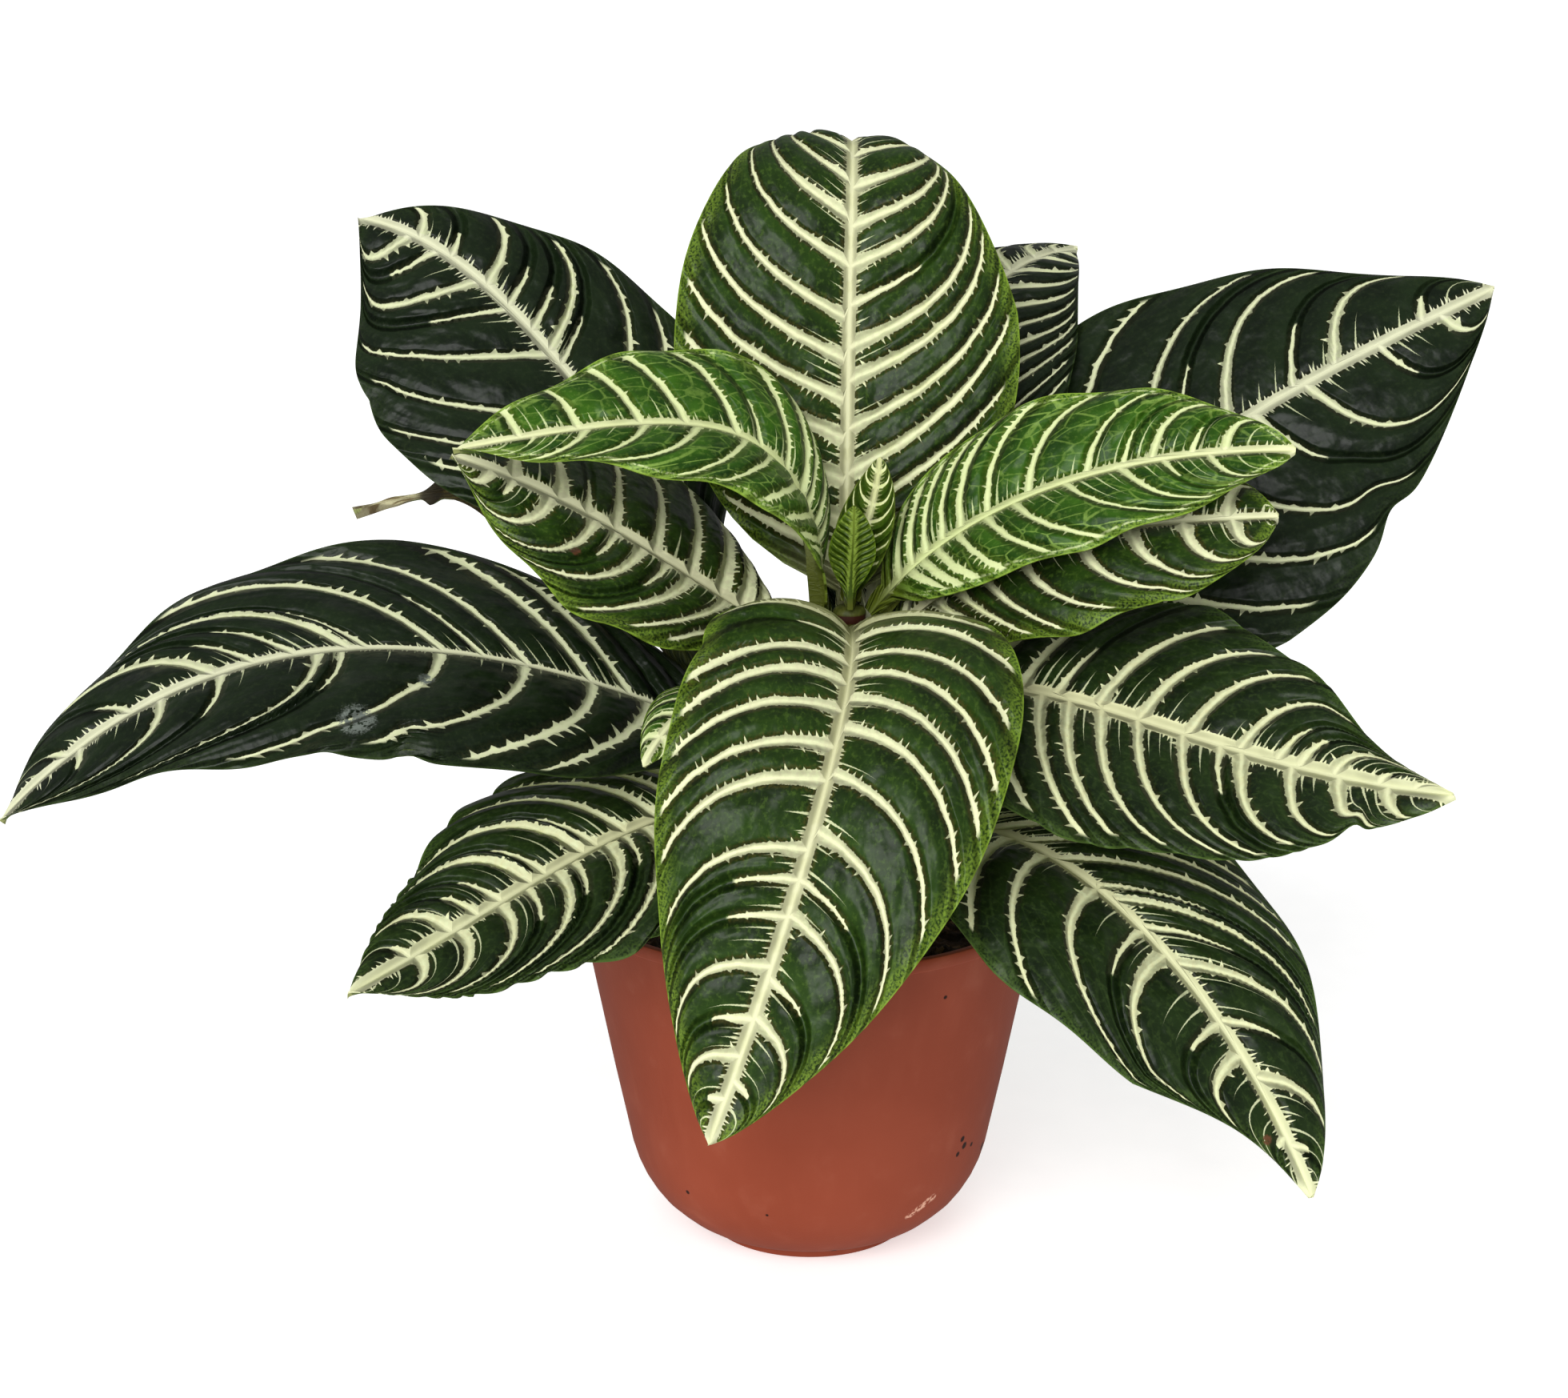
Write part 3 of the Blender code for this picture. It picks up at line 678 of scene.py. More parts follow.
def margin_share(half, place):
    """How far one half's margin stands out, as a share of the plain outline."""
    share = quarters(half.trim, place)
    for middle, depth, spread in half.notches:
        share = share - depth * np.exp(-(((place - middle) / spread) ** 2))
    return share


widest = half_width(FRONT_LEAF, FRONT_LEAF.widest)
print("front leaf's half width:", round(float(widest), 4), "m")

# %% [markdown]
# The rows of a leaf's mesh don't run straight out but sweep forward, as the side veins do.
# Across a row the blade first rises from the midrib at a fold angle and then curls back down.
# Between two veins the real blade is puffed up like a quilt, and so is this one. The lower
# face follows the upper one, thinner at the margin and with a keel under the midrib.

# %% The blade's two faces
BLADE = 0.0008
MARGIN = 0.00035
KEEL_DEPTH = 0.0036
KEEL_TAPER = 1.3
KEEL_AT_TIP = 0.0005
KEEL_HALF_WIDTH = 0.0030
QUILT_GAIN = 1.25
PUFF_ROUNDNESS = 0.8
PUFF_FROM_RIB = 0.2
MEAN_PUFF = 0.6
FOLD_FADE = 1.5
WAVE_LENGTH = 3.3
ROWS_TO_FULL_SWEEP = 0.8
ROWS_TO_FULL_BLADE = 0.6


def leaf_point(leaf, rails, start, across):
    """Where the upper and lower faces are, for rows that leave the midrib at start and for
    places across the leaf from -1, the right margin, to 1, the left."""
    centre, left, up = rails
    on_left = across > 0
    size = np.abs(across)
    row = row_number(leaf, start)
    settled = 1 - np.exp(-np.clip(row, 0, None) / ROWS_TO_FULL_SWEEP)
    forward = leaf.sweep * settled * (1 - start)
    place = start + forward * ((1 - leaf.bend) * size + leaf.bend * size ** 3)
    trim = np.where(on_left, margin_share(leaf.left, place), margin_share(leaf.right, place))
    number = np.where(on_left, vein_number(leaf.left, place, size),
                      vein_number(leaf.right, place, size))
    puff = np.abs(np.sin(np.pi * number)) ** PUFF_ROUNDNESS
    scalloped = 1 + leaf.scallop * (puff - MEAN_PUFF) * size ** 6
    half = half_width(leaf, place) * trim * scalloped
    at_stalk, at_tip, curl = (np.radians(np.where(on_left, here, there))
                              for here, there in zip(leaf.left.fold, leaf.right.fold))
    fold = at_tip + (at_stalk - at_tip) * (1 - place) ** FOLD_FADE
    turn = fold + curl + 1e-4
    outward = half * (np.sin(fold) - np.sin(fold - turn * size)) / turn
    lift = half * (np.cos(fold - turn * size) - np.cos(fold)) / turn
    full = np.clip(half / BLADE_FULL_WIDTH, 0, 1)
    on_blade = np.clip(row / ROWS_TO_FULL_BLADE, 0, 1)
    puff = puff * np.clip(size / PUFF_FROM_RIB, 0, 1) * (1 - size ** 4)
    lift = lift + QUILT_GAIN * leaf.quilt * puff * full * on_blade
    swing = 2 * math.pi * row / WAVE_LENGTH + 2 * np.sign(across)
    lift = lift + leaf.wave * size ** 3 * np.sin(swing)
    side = np.sign(across)[..., None]
    top = at(centre, place) + at(left, place) * outward[..., None] * side
    top = top + at(up, place) * lift[..., None]
    slope = (fold - turn * size)[..., None]
    normal = at(up, place) * np.cos(slope) - at(left, place) * np.sin(slope) * side
    near_rib = 1 - np.clip(size * half / KEEL_HALF_WIDTH, 0, 1)
    near_rib = near_rib ** 2 * (3 - 2 * near_rib)
    keel = (KEEL_DEPTH * (1 - place) ** KEEL_TAPER + KEEL_AT_TIP) * near_rib
    thickness = BLADE + (MARGIN - BLADE) * size ** 6 * on_blade
    bottom = top - normal * (thickness + keel)[..., None]
    return top, bottom, place, half, number


front_faces = leaf_point(FRONT_LEAF, midrib(FRONT_LEAF, STEM_RADII[0][1]),
                         np.array([[0.5, 0.5]]), np.array([[-1.0, 1.0]]))
print("front leaf's margins half way along:", front_faces[0].round(3).tolist())

# %% [markdown]
# A leaf must not cut into the stem. The stalk's foot is moved outward until the nearest
# point of the stalk is a hair off the stem, which is how the frame's plain leaf was seated.

# %% Seating a leaf on the stem
BUD_OFFSET = 0.0022
SEATING_ROUNDS = 5


def clearance(points):
    """The least distance from points to the stem, negative inside it."""
    heights, radii = zip(*stem_profile())
    lean_heights, leans = zip(*STEM_LEAN)
    beside = points[points[:, 2] < STEM_TOP]
    middle = np.interp(beside[:, 2], lean_heights, leans)
    from_axis = np.hypot(beside[:, 0] - middle, beside[:, 1])
    return (from_axis - np.interp(beside[:, 2], heights, radii)).min()


def seated(leaf):
    """The midrib of a leaf whose stalk stands just off the stem, or on its top for a bud."""
    if leaf.height > STEM_TOP:
        return midrib(leaf, BUD_OFFSET)
    start, across = np.meshgrid(np.linspace(0, ROWS_START * leaf.stalk, 9),
                                np.linspace(-1, 1, 9), indexing="ij")
    outward = STEM_RADII[0][1] + NODE_SWELLING + GAP
    for _ in range(SEATING_ROUNDS):
        faces = leaf_point(leaf, midrib(leaf, outward), start, across)[:2]
        outward += GAP - clearance(np.concatenate(faces).reshape(-1, 3))
    return midrib(leaf, outward)


print("front leaf's foot:", seated(FRONT_LEAF)[0][0].round(4))

# %% [markdown]
# One material does the blade of every leaf of an age. A painted picture could carry the white
# veins, but it would blur up close, so formulas draw them, which stay sharp at any size.
# First come the colours and sizes that differ from age to age: an old leaf is nearly black
# with narrow veins, and a young one is bright with a fine pale net.

# %% The look of each age of leaf
@dataclass
class Look:
    """Colours and sizes of a leaf's upper face. Widths and lengths are millimetres, and a
    mark is a leaf's name, a place along and out, a radius and a colour."""

    dark: tuple
    middle: tuple
    light: tuple
    margin: tuple
    # brown: the tissue beside the veins and down the midrib, partly its own colour, partly
    # painted shade
    brown: tuple
    vein: tuple
    rib: tuple
    rib_tip: tuple
    vein_width: float = 2.15
    vein_tip: float = 0.50
    vein_end: float = 0.985
    rib_width: tuple = (2.6, 1.6)
    thorn: float = 2.2
    thorn_gap: float = 2.2
    minor_length: float = 12.0
    margin_reach: float = 8.0
    margin_share: float = 0.85
    brown_shade_share: float = 0.45
    light_share: float = 0.35
    net_share: float = 0.22
    loop_share: float = 0.0
    stalk: tuple = screen(150, 152, 104)
    marks: tuple = ()
    roughness: float = 0.38
    specular: float = 0.22


# grey patches on the drooping leaf: scars, painted in the grey of a sheen as well
SCAR_AND_SHEEN = screen(112, 120, 112)
SCORCH = screen(96, 62, 40)
LOOKS = {
    "old": Look(screen(12, 22, 10), screen(25, 39, 18), screen(46, 58, 32), screen(48, 66, 26),
                screen(52, 50, 26), screen(218, 225, 178), screen(218, 220, 182),
                screen(224, 226, 190), vein_width=1.90, rib_width=(2.1, 2.1), thorn=3.0,
                thorn_gap=4.0, margin_share=0.4, light_share=0.3, net_share=0.12,
                minor_length=9.0, marks=(("leaf_left_drooping", 150.0, 36.0, 7.0, SCAR_AND_SHEEN),
                                         ("leaf_left_drooping", 128.0, 17.0, 3.0, SCAR_AND_SHEEN))),
    "aged": Look(screen(15, 27, 10), screen(32, 50, 17), screen(60, 80, 36),
                 screen(78, 104, 42), screen(58, 52, 26), screen(228, 234, 186),
                 screen(222, 222, 172), screen(232, 235, 188), vein_width=2.20, vein_tip=0.60,
                 rib_width=(2.4, 2.0), thorn=2.5, thorn_gap=3.2, margin_reach=6.0,
                 margin_share=0.6, net_share=0.3, minor_length=16.0,
                 marks=(("leaf_lower_right", 191.0, -6.0, 1.8, SCORCH),)),
    "mature": Look(screen(20, 35, 9), screen(40, 66, 16), screen(72, 98, 34),
                   screen(126, 156, 48), screen(76, 68, 28), screen(234, 240, 190),
                   screen(224, 224, 180), screen(232, 234, 190), light_share=0.5,
                   brown_shade_share=0.75, marks=(("leaf_mid_left", 88.8, 20.5, 2.2, SCORCH),)),
    "young": Look(screen(24, 54, 9), screen(56, 98, 18), screen(136, 168, 76),
                  screen(142, 174, 62), screen(86, 100, 32), screen(222, 234, 172),
                  screen(216, 226, 162), screen(234, 238, 186), vein_width=1.10,
                  vein_tip=0.55, vein_end=0.97, rib_width=(1.8, 1.5), thorn=1.6,
                  margin_reach=5.0, light_share=0.20, brown_shade_share=0.6, net_share=0.75,
                  loop_share=0.6, stalk=screen(84, 96, 24)),
    "bud": Look(screen(52, 78, 8), screen(72, 98, 12), screen(96, 122, 24),
                screen(96, 122, 24), screen(48, 66, 10), screen(140, 164, 64),
                screen(58, 78, 12), screen(104, 122, 32), vein_width=0.24, vein_tip=0.12,
                vein_end=0.97, rib_width=(0.3, 0.2), thorn=0.1, margin_reach=1.0,
                margin_share=0.4, minor_length=0.0, stalk=screen(80, 88, 20)),
    "opening": Look(screen(44, 72, 12), screen(66, 98, 18), screen(100, 130, 34),
                    screen(120, 140, 50), screen(96, 104, 36), screen(214, 224, 150),
                    screen(234, 236, 190), screen(214, 218, 160), vein_width=0.45,
                    vein_tip=0.2, vein_end=0.97, rib_width=(2.0, 0.9), thorn=0.3,
                    margin_reach=1.0, margin_share=0.4, minor_length=0.0,
                    stalk=screen(80, 88, 22)),
}
print("looks:", ", ".join(LOOKS))

# %% [markdown]
# The formulas read three vectors that each leaf's mesh will carry: the count of veins with how
# far apart they are, the distances along and out in millimetres, and the place along the leaf
# with how strong the nearest vein is and how broad the midrib. Every finish on a leaf needs
# them, so one kind of finish reads them all. Each leaf counts its veins and millimetres from a
# number of its own, so that no two leaves are alike. The thorns of a vein are chance points
# strung along it, each with a spike of its own height.

# %% What a leaf's finish reads
LEAF_NAMES = [leaf.name for leaf in LEAVES]
PATTERN_STEP = 500.0
VEIN_STEP = 40


class LeafFinish(Finish):
    """A finish that knows where on its leaf each point is. Distances are millimetres."""

    def __init__(self, name):
        super().__init__(name)
        self.number, self.across, self.pitch = self.attribute("veins")
        self.along, self.out, self.half = self.attribute("flat")
        self.place, self.drawn, self.broad = self.attribute("leaf")
        self.size = self.across.size()
        self.side = self.across.sign()
        self.reach = self.out.size()
        self.flat = self.join(self.along, self.out)

    @cached_property
    def mottle(self):
        """Uneven patches a millimetre or two across."""
        return self.noise(self.flat, 0.55, 5.0, 0.65)

    @cached_property
    def wobble(self):
        """What makes the edge of every line uneven."""
        return self.noise(self.flat, 1.5, 4.0, 0.6) - 0.5

    def thorns(self, line, slim, sharp, length):
        """How far thorns stick out, with one at a chance place in each unit of a line."""
        node = self.add("ShaderNodeTexVoronoi", {"W": line, "Scale": 1.0},
                        voronoi_dimensions="1D")
        tall = self.split(node.outputs["Color"])[0]
        beside = Signal(self, node.outputs["Distance"])
        return (1.0 - beside * slim).most(0.0) * (tall ** sharp) * length

    def net(self, vector, scale, width):
        """1 on the lines between the cells of a pattern, and 0 inside them."""
        node = self.add("ShaderNodeTexVoronoi", {"Vector": vector, "Scale": scale},
                        feature="DISTANCE_TO_EDGE")
        return 1.0 - Signal(self, node.outputs["Distance"]).between(0.02, width)


print("each leaf has its own", PATTERN_STEP, "mm of the patterns")

# %% [markdown]
# A white side vein is a line of a real width. It leaves the midrib broad, thins towards the
# margin and drifts a little. Its thorns differ from one side to the other, and a weak vein
# stops half way.

# %% Side veins
EDGE_BLUR = 0.12
VEIN_DRIFT = 1.6
WEAK_VEIN_END = 0.48
WEAK_VEIN_WIDTH = 0.55
VEIN_ROOT_FLARE = 0.3
VEIN_ROOT_REACH = 9.0
FAR_THORN_LENGTH = 0.8
NO_VEIN = 3.0


def side_veins(leaf, look):
    """Where the side veins are, the distance to the nearest one's middle and to its edge."""
    vein = leaf.number.nearest()
    drift = (leaf.noise(leaf.flat, 0.16, 2.0) - 0.5) * VEIN_DRIFT
    off = (leaf.number - vein) * leaf.pitch + drift
    end_lot, width_lot = leaf.chance(vein, leaf.side)
    full = leaf.drawn.between(0.6, 0.9)
    end = full * (look.vein_end - WEAK_VEIN_END) + WEAK_VEIN_END - end_lot * 0.06
    present = (end - leaf.size).between(0.0, 0.03) * leaf.drawn.between(0.1, 0.3)
    travelled = (leaf.size / end).least(1.0)
    width = look.vein_width - travelled ** 1.4 * (look.vein_width - look.vein_tip)
    width = width * (width_lot * 0.4 + 0.8) * (leaf.broad.least(1.0) * 0.5 + 0.5)
    width = width * (full * (1.0 - WEAK_VEIN_WIDTH) + WEAK_VEIN_WIDTH)
    at_root = 1.0 - leaf.reach.between(1.0, VEIN_ROOT_REACH)
    width = width + at_root * (look.vein_width * VEIN_ROOT_FLARE)
    lean_out = leaf.reach * 0.8 + leaf.along * 0.6 + off.size() * 0.15
    base_line = lean_out / look.thorn_gap + vein * 17.3 + leaf.side * 5.1
    far_line = lean_out / (look.thorn_gap * 1.4) + vein * 11.9 + leaf.side * 9.7
    base_thorn = leaf.thorns(base_line, 4.5, 2.2, look.thorn)
    far_thorn = leaf.thorns(far_line, 5.0, 2.5, look.thorn * FAR_THORN_LENGTH)
    on_base_side = (off * -1.0).between(-0.15, 0.15)
    thorn = base_thorn * on_base_side + far_thorn * (1.0 - on_base_side)
    width = width + thorn * (full * 0.5 + 0.5) + leaf.wobble * (width * 0.5 + 0.25)
    lateral = (width - off.size()).between(-EDGE_BLUR, EDGE_BLUR) * present
    beside = (off.size() - width).most(0.0) + (1.0 - present) * NO_VEIN
    return lateral, off, beside


print("a vein's edge is soft over", 2 * EDGE_BLUR, "mm")

# %% [markdown]
# The midrib is another such line, with a fringe of fine hairs and painted shade for a groove
# down its middle. Short thin veins run out from it between the side veins, four to each gap.

# %% Midrib and short veins
SHORT_VEINS = 4.0
LEAST_SHORT_VEIN = 1.5
GROOVE_SHADE = 0.10


def middle_rib(leaf, look):
    """Where the midrib is, and its width without the hairs."""
    base_width, tip_width = look.rib_width
    width = (leaf.place * (tip_width - base_width) + base_width) * leaf.broad
    line = leaf.along / 1.4 + leaf.side * 33.3 - leaf.reach * 0.15
    hair = leaf.thorns(line, 3.4, 1.8, look.thorn) * leaf.broad.least(1.0)
    edge = width + hair + leaf.wobble * 0.5 - leaf.reach
    return edge.between(-EDGE_BLUR, EDGE_BLUR), width


def rib_colour(leaf, look, rib_width):
    """Cream that turns paler towards the tip, with painted shade down the groove."""
    # painted shade down the midrib's middle, where a groove would lie
    groove = (1.0 - (leaf.reach / rib_width).between(0.0, 0.35)) * GROOVE_SHADE
    cream = leaf.blend(leaf.place.between(0.3, 1.0), look.rib, look.rib_tip)
    return leaf.blend(groove, cream, look.brown)


def short_veins(leaf, look, rib_width):
    """Where the short veins are. Most are no longer than a hair, and a few are long."""
    counted = leaf.number * SHORT_VEINS
    slot = counted.nearest()
    off = (counted - slot) * (1 / SHORT_VEINS) * leaf.pitch + leaf.wobble * 0.6
    length_lot, width_lot = leaf.chance(slot + 0.5, leaf.side)
    length = (length_lot ** 2.0) * look.minor_length + LEAST_SHORT_VEIN
    width = (1.0 - (leaf.reach - rib_width) / length) * (width_lot * 0.3 + 0.25)
    return (width - off.size()).between(-0.08, 0.10) * leaf.drawn.between(0.1, 0.3)


print("short veins to a gap:", SHORT_VEINS)

# %% [markdown]
# The green is darkest just ahead of each vein and brightest along the margin, where grains of
# pale green thicken to a line. A net of fine veins lies in it, and a looping vein follows the
# margin of a young leaf. Beside the white the tissue is brown and darker, partly its own colour
# and partly painted shade along the veins.

# %% Green
LOOP_FROM_MARGIN = 1.8
BROWN_SHADE_WIDTH = 1.9


def green_between(leaf, look, beside):
    """The green of the blade, given the distance to the nearest white edge."""
    ahead = leaf.number - leaf.number.below()
    tone = leaf.noise(leaf.flat, 0.10, 3.0).between(0.32, 0.68) * 0.5
    tone = tone + ahead.between(0.25, 0.85) * 0.5
    green = leaf.blend(tone, look.dark, look.middle)
    green = leaf.blend(leaf.mottle.between(0.50, 0.66) * look.light_share, green, look.light)
    gap_place = leaf.join(leaf.reach * 0.22 + ahead * 0.5, leaf.number * 1.9, leaf.side * 7.0)
    net = leaf.net(gap_place, 1.0, 0.055)
    from_margin = (1.0 - leaf.size) * leaf.half
    uneven = from_margin + (leaf.noise(leaf.flat, 0.22, 2.0) - 0.5) * 5.0
    margin = (1.0 - uneven.between(0.5, look.margin_reach)) * look.margin_share
    grainy = leaf.noise(leaf.flat, 1.3, 3.0).between(0.36, 0.60) * 0.7 + net * 0.3
    green = leaf.blend(margin * grainy, green, look.margin)
    net = net * (leaf.size.between(0.3, 1.0) * 0.6 + 0.4) * leaf.mottle.between(0.30, 0.50)
    green = leaf.blend(net * look.net_share, green, look.light)
    loop = (from_margin - LOOP_FROM_MARGIN + (tone - 0.5) * 1.6).size()
    loop = (1.0 - loop.between(0.15, 0.5)) * leaf.place.between(0.05, 0.2)
    loop = loop * leaf.mottle.between(0.42, 0.56)
    green = leaf.blend(loop * look.loop_share, green, look.vein)
    margin_line = 1.0 - from_margin.between(0.2, 0.6)
    green = leaf.blend(margin_line * 0.7, green, look.margin)
    # Beside each white edge the green turns brown: partly the tissue's own colour, partly
    # painted shade.
    fringe = 1.0 - beside.between(0.2, BROWN_SHADE_WIDTH)
    fringe = fringe * leaf.noise(leaf.flat, 1.1, 2.0).between(0.35, 0.6)
    return leaf.blend(fringe * look.brown_shade_share, green, look.brown)


def with_marks(leaf, look, coloured):
    """The colours with the scorched spots, and the grey scars that are partly painted sheen."""
    for name, along, out, radius, mark_colour in look.marks:
        centre = (PATTERN_STEP * LEAF_NAMES.index(name) + along, out, 0.0)
        apart = leaf.add("ShaderNodeVectorMath", {0: leaf.flat, 1: centre},
                         operation="DISTANCE")
        gap = Signal(leaf, apart.outputs["Value"]) + leaf.wobble * radius
        mark = (1.0 - gap.between(radius * 0.6, radius)) * leaf.mottle.between(0.40, 0.50)
        coloured = leaf.blend(mark, coloured, mark_colour)
    return coloured


print("marks:", sum(len(look.marks) for look in LOOKS.values()))

# %% [markdown]
# The blade is glossy, and its gloss shows every unevenness: puckers across each gap, small
# pebbles, and the veins, which lie in shallow valleys.

# %% The upper face
VEIN_VALLEY = 0.4


def add_puckers(leaf, beside):
    """The relief of the blade, given the distance to the nearest vein's middle."""
    gap_place = leaf.join(leaf.reach * 0.08, leaf.number * 1.6, leaf.side * 7.0)
    puckers = leaf.noise(gap_place, 1.0, 1.5) * 3.2
    pebbles = leaf.cells(leaf.flat, 0.7)[0] * 0.06 + leaf.noise(leaf.flat, 0.12, 1.5) * 1.8
    valley = (1.0 - beside.between(1.2, 3.4)) * VEIN_VALLEY
    leaf.relief((pebbles + puckers) * beside.between(0.2, 3.0) - valley, 0.9)


def leaf_finish(name, look):
    """The upper face of a leaf."""
    leaf = LeafFinish(name)
    lateral, off, beside_vein = side_veins(leaf, look)
    rib, rib_width = middle_rib(leaf, look)
    beside_rib = (leaf.reach - rib_width).most(0.0)
    coloured = green_between(leaf, look, beside_vein.least(beside_rib))
    coloured = leaf.blend(short_veins(leaf, look, rib_width) * 0.7, coloured, look.vein)
    cream = leaf.blend(leaf.mottle.between(0.35, 0.7), look.vein, look.rib)
    coloured = leaf.blend(lateral, coloured, cream)
    coloured = leaf.blend(rib, coloured, rib_colour(leaf, look, rib_width))
    on_stalk = 1.0 - leaf.place.between(0.03, 0.16)
    coloured = leaf.blend(on_stalk, coloured, look.stalk)
    leaf.colour(with_marks(leaf, look, coloured))
    add_puckers(leaf, off.size().least(leaf.reach))
    shine = leaf.noise(leaf.flat, 0.3, 2.0) * 0.2 + look.roughness - 0.1
    leaf.gloss(shine + lateral.most(rib) * 0.12, look.specular)
    return leaf.material


TOP_FINISHES = {age: leaf_finish(f"{age}_leaf", look) for age, look in LOOKS.items()}
print("upper faces:", len(TOP_FINISHES))

# %% [markdown]
# The lower face is paler and duller, and its ribs stand out. One narrow leaf has its own
# finish on top, because its end has dried to a dark knot and a cream tip.

# %% The lower face and the dried leaf
def underside_finish():
    """The paler, duller lower face, with raised ribs."""
    leaf = LeafFinish("leaf_underside")
    off = ((leaf.number - leaf.number.nearest()) * leaf.pitch).size()
    vein = (1.3 - leaf.size * 0.9 - off).between(-0.2, 0.3) * leaf.drawn.between(0.1, 0.9)
    ribs = vein.most((2.2 - leaf.place * 1.2 - leaf.reach).between(-0.2, 0.3))
    tone = leaf.noise(leaf.flat, 0.2, 4.0).between(0.3, 0.7)
    net = leaf.net(leaf.flat, 0.55, 0.12)
    green = leaf.blend(tone, screen(74, 88, 42), screen(96, 110, 58))
    green = leaf.blend(net * 0.3, green, screen(116, 128, 76))
    green = leaf.blend(ribs * 0.8, green, screen(158, 164, 104))
    leaf.colour(leaf.blend(1.0 - leaf.place.between(0.06, 0.22), green, screen(80, 88, 26)))
    leaf.relief(ribs * 0.5 + net * 0.1 + leaf.cells(leaf.flat, 0.9)[0] * 0.12)
    leaf.gloss(tone * 0.1 + 0.5, 0.2)
    return leaf.material


def dried_finish():
    """The narrow leaf whose end has dried: olive-brown, a dark knot, and a cream tip."""
    leaf = LeafFinish("dried_leaf")
    streak = leaf.noise(leaf.join(leaf.along * 0.15, leaf.out * 1.2), 1.0, 4.0)
    fresh = leaf.blend(streak.between(0.35, 0.65), screen(30, 40, 18), screen(64, 70, 28))
    olive = leaf.blend(streak.between(0.35, 0.65), screen(58, 50, 22), screen(104, 92, 46))
    cream = leaf.blend(streak.between(0.45, 0.65), screen(196, 190, 150), screen(120, 104, 70))
    colour = leaf.blend(leaf.place.between(0.62, 0.78), fresh, olive)
    knot = leaf.place.between(0.845, 0.86) * (1.0 - leaf.place.between(0.885, 0.90))
    colour = leaf.blend(leaf.place.between(0.86, 0.90), colour, cream)
    colour = leaf.blend(knot * 0.85, colour, screen(34, 26, 18))
    margin_line = 1.0 - (leaf.half - leaf.reach).between(0.2, 0.9)
    leaf.colour(leaf.blend(margin_line * 0.6, colour, screen(52, 42, 26)))
    leaf.relief(streak * 1.2 + leaf.noise(leaf.flat, 0.6, 3.0) * 0.4)
    leaf.gloss(streak * 0.2 + 0.5, 0.2)
    return leaf.material


UNDERSIDE = underside_finish()
TOP_FINISHES["dried"] = dried_finish()
print("leaf finishes:", sorted(TOP_FINISHES))

# %% [markdown]
# Each leaf starts as a flat grid. Solidify turns the grid into a thin slab with a closed
# margin, and then each point of the slab is laid on the leaf's upper or lower face.
# The grid's own coordinates say how far across and how far along each point belongs.

# %% Points of a mesh
def read_points(mesh):
    """The places of a mesh's points, one row to each."""
    points = np.empty(len(mesh.vertices) * 3)
    mesh.vertices.foreach_get("co", points)
    return points.reshape(-1, 3)


def write_points(mesh, points):
    """Moves a mesh's points."""
    mesh.vertices.foreach_set("co", points.ravel())
    mesh.update()


print("points can be read and moved")

# %% Building one leaf
CELL = 0.00125
LEAST_CELLS = 24
CELLS_ACROSS = 0.8
WEAK = 0.5
WIDEST_GAP = 0.06
LEAF_CREASE = 50


def vein_strength(half, number):
    """1 near a full vein, less near a weak one, and 0 where the half has no vein."""
    strengths = [WEAK if place in half.weak else 1.0 for place in half.veins]
    nearest = np.round(number).astype(int)
    inside = (nearest >= 1) & (nearest <= len(strengths))
    return np.where(inside, np.array(strengths)[np.clip(nearest, 1, len(strengths)) - 1], 0.0)


def lay_out(leaf, rails, start, across):
    """Positions and the three vectors that the materials read, for one leaf's grid."""
    top, bottom, place, half, number = leaf_point(leaf, rails, start, across)
    down_rows = np.gradient(top, axis=0)
    over_columns = np.gradient(top, axis=1)
    area = np.linalg.norm(np.cross(down_rows, over_columns), axis=-1)
    step = area / np.maximum(np.linalg.norm(over_columns, axis=-1), 1e-7)
    counted = np.maximum(np.abs(np.gradient(number, axis=0)), 1e-5)
    pitch = np.clip(step / counted, 0, WIDEST_GAP)
    drawn = np.where(across > 0, vein_strength(leaf.left, number),
                     vein_strength(leaf.right, number))
    seed = LEAF_NAMES.index(leaf.name)
    along = place * rail_length(rails) * 1000 + PATTERN_STEP * seed
    veins = np.stack([number + VEIN_STEP * seed, across, pitch * 1000], axis=-1)
    flat = np.stack([along, half * across * 1000, half * 1000], axis=-1)
    marks = np.stack([place, drawn, quarters(leaf.rib, place)], axis=-1)
    return top, bottom, {"veins": veins, "flat": flat, "leaf": marks}


def add_slab(leaf, length):
    """A flat slab for a leaf, the order of its points by rows, and where each belongs."""
    rows = max(LEAST_CELLS, int(length / CELL))
    columns = 2 * max(LEAST_CELLS // 3, int(leaf.width / CELL / 2 * CELLS_ACROSS))
    bpy.ops.object.select_all(action="DESELECT")
    bpy.ops.mesh.primitive_grid_add(x_subdivisions=columns, y_subdivisions=rows, size=2)
    slab = bpy.context.object
    slab.name = leaf.name.replace("leaf_", "") + "_veined"
    slab.data.materials.append(TOP_FINISHES[leaf.age])
    slab.data.materials.append(TOP_FINISHES[leaf.age] if leaf.age == "bud" else UNDERSIDE)
    points = read_points(slab.data)
    order = np.lexsort((-points[:, 0].round(5), points[:, 1].round(5)))
    width = int(np.sum(np.abs(points[:, 1] + 1) < 1e-5))
    in_rows = points[order].reshape(-1, width, 3)
    start = (in_rows[..., 1] + 1) / 2
    across = -in_rows[..., 0]
    across[np.abs(across) < 1e-6] = 0
    thicken = slab.modifiers.new("thickness", "SOLIDIFY")
    thicken.thickness = BLADE
    thicken.offset = -1
    thicken.material_offset = 1
    bpy.ops.object.modifier_apply(modifier=thicken.name)
    return slab, order, start, across


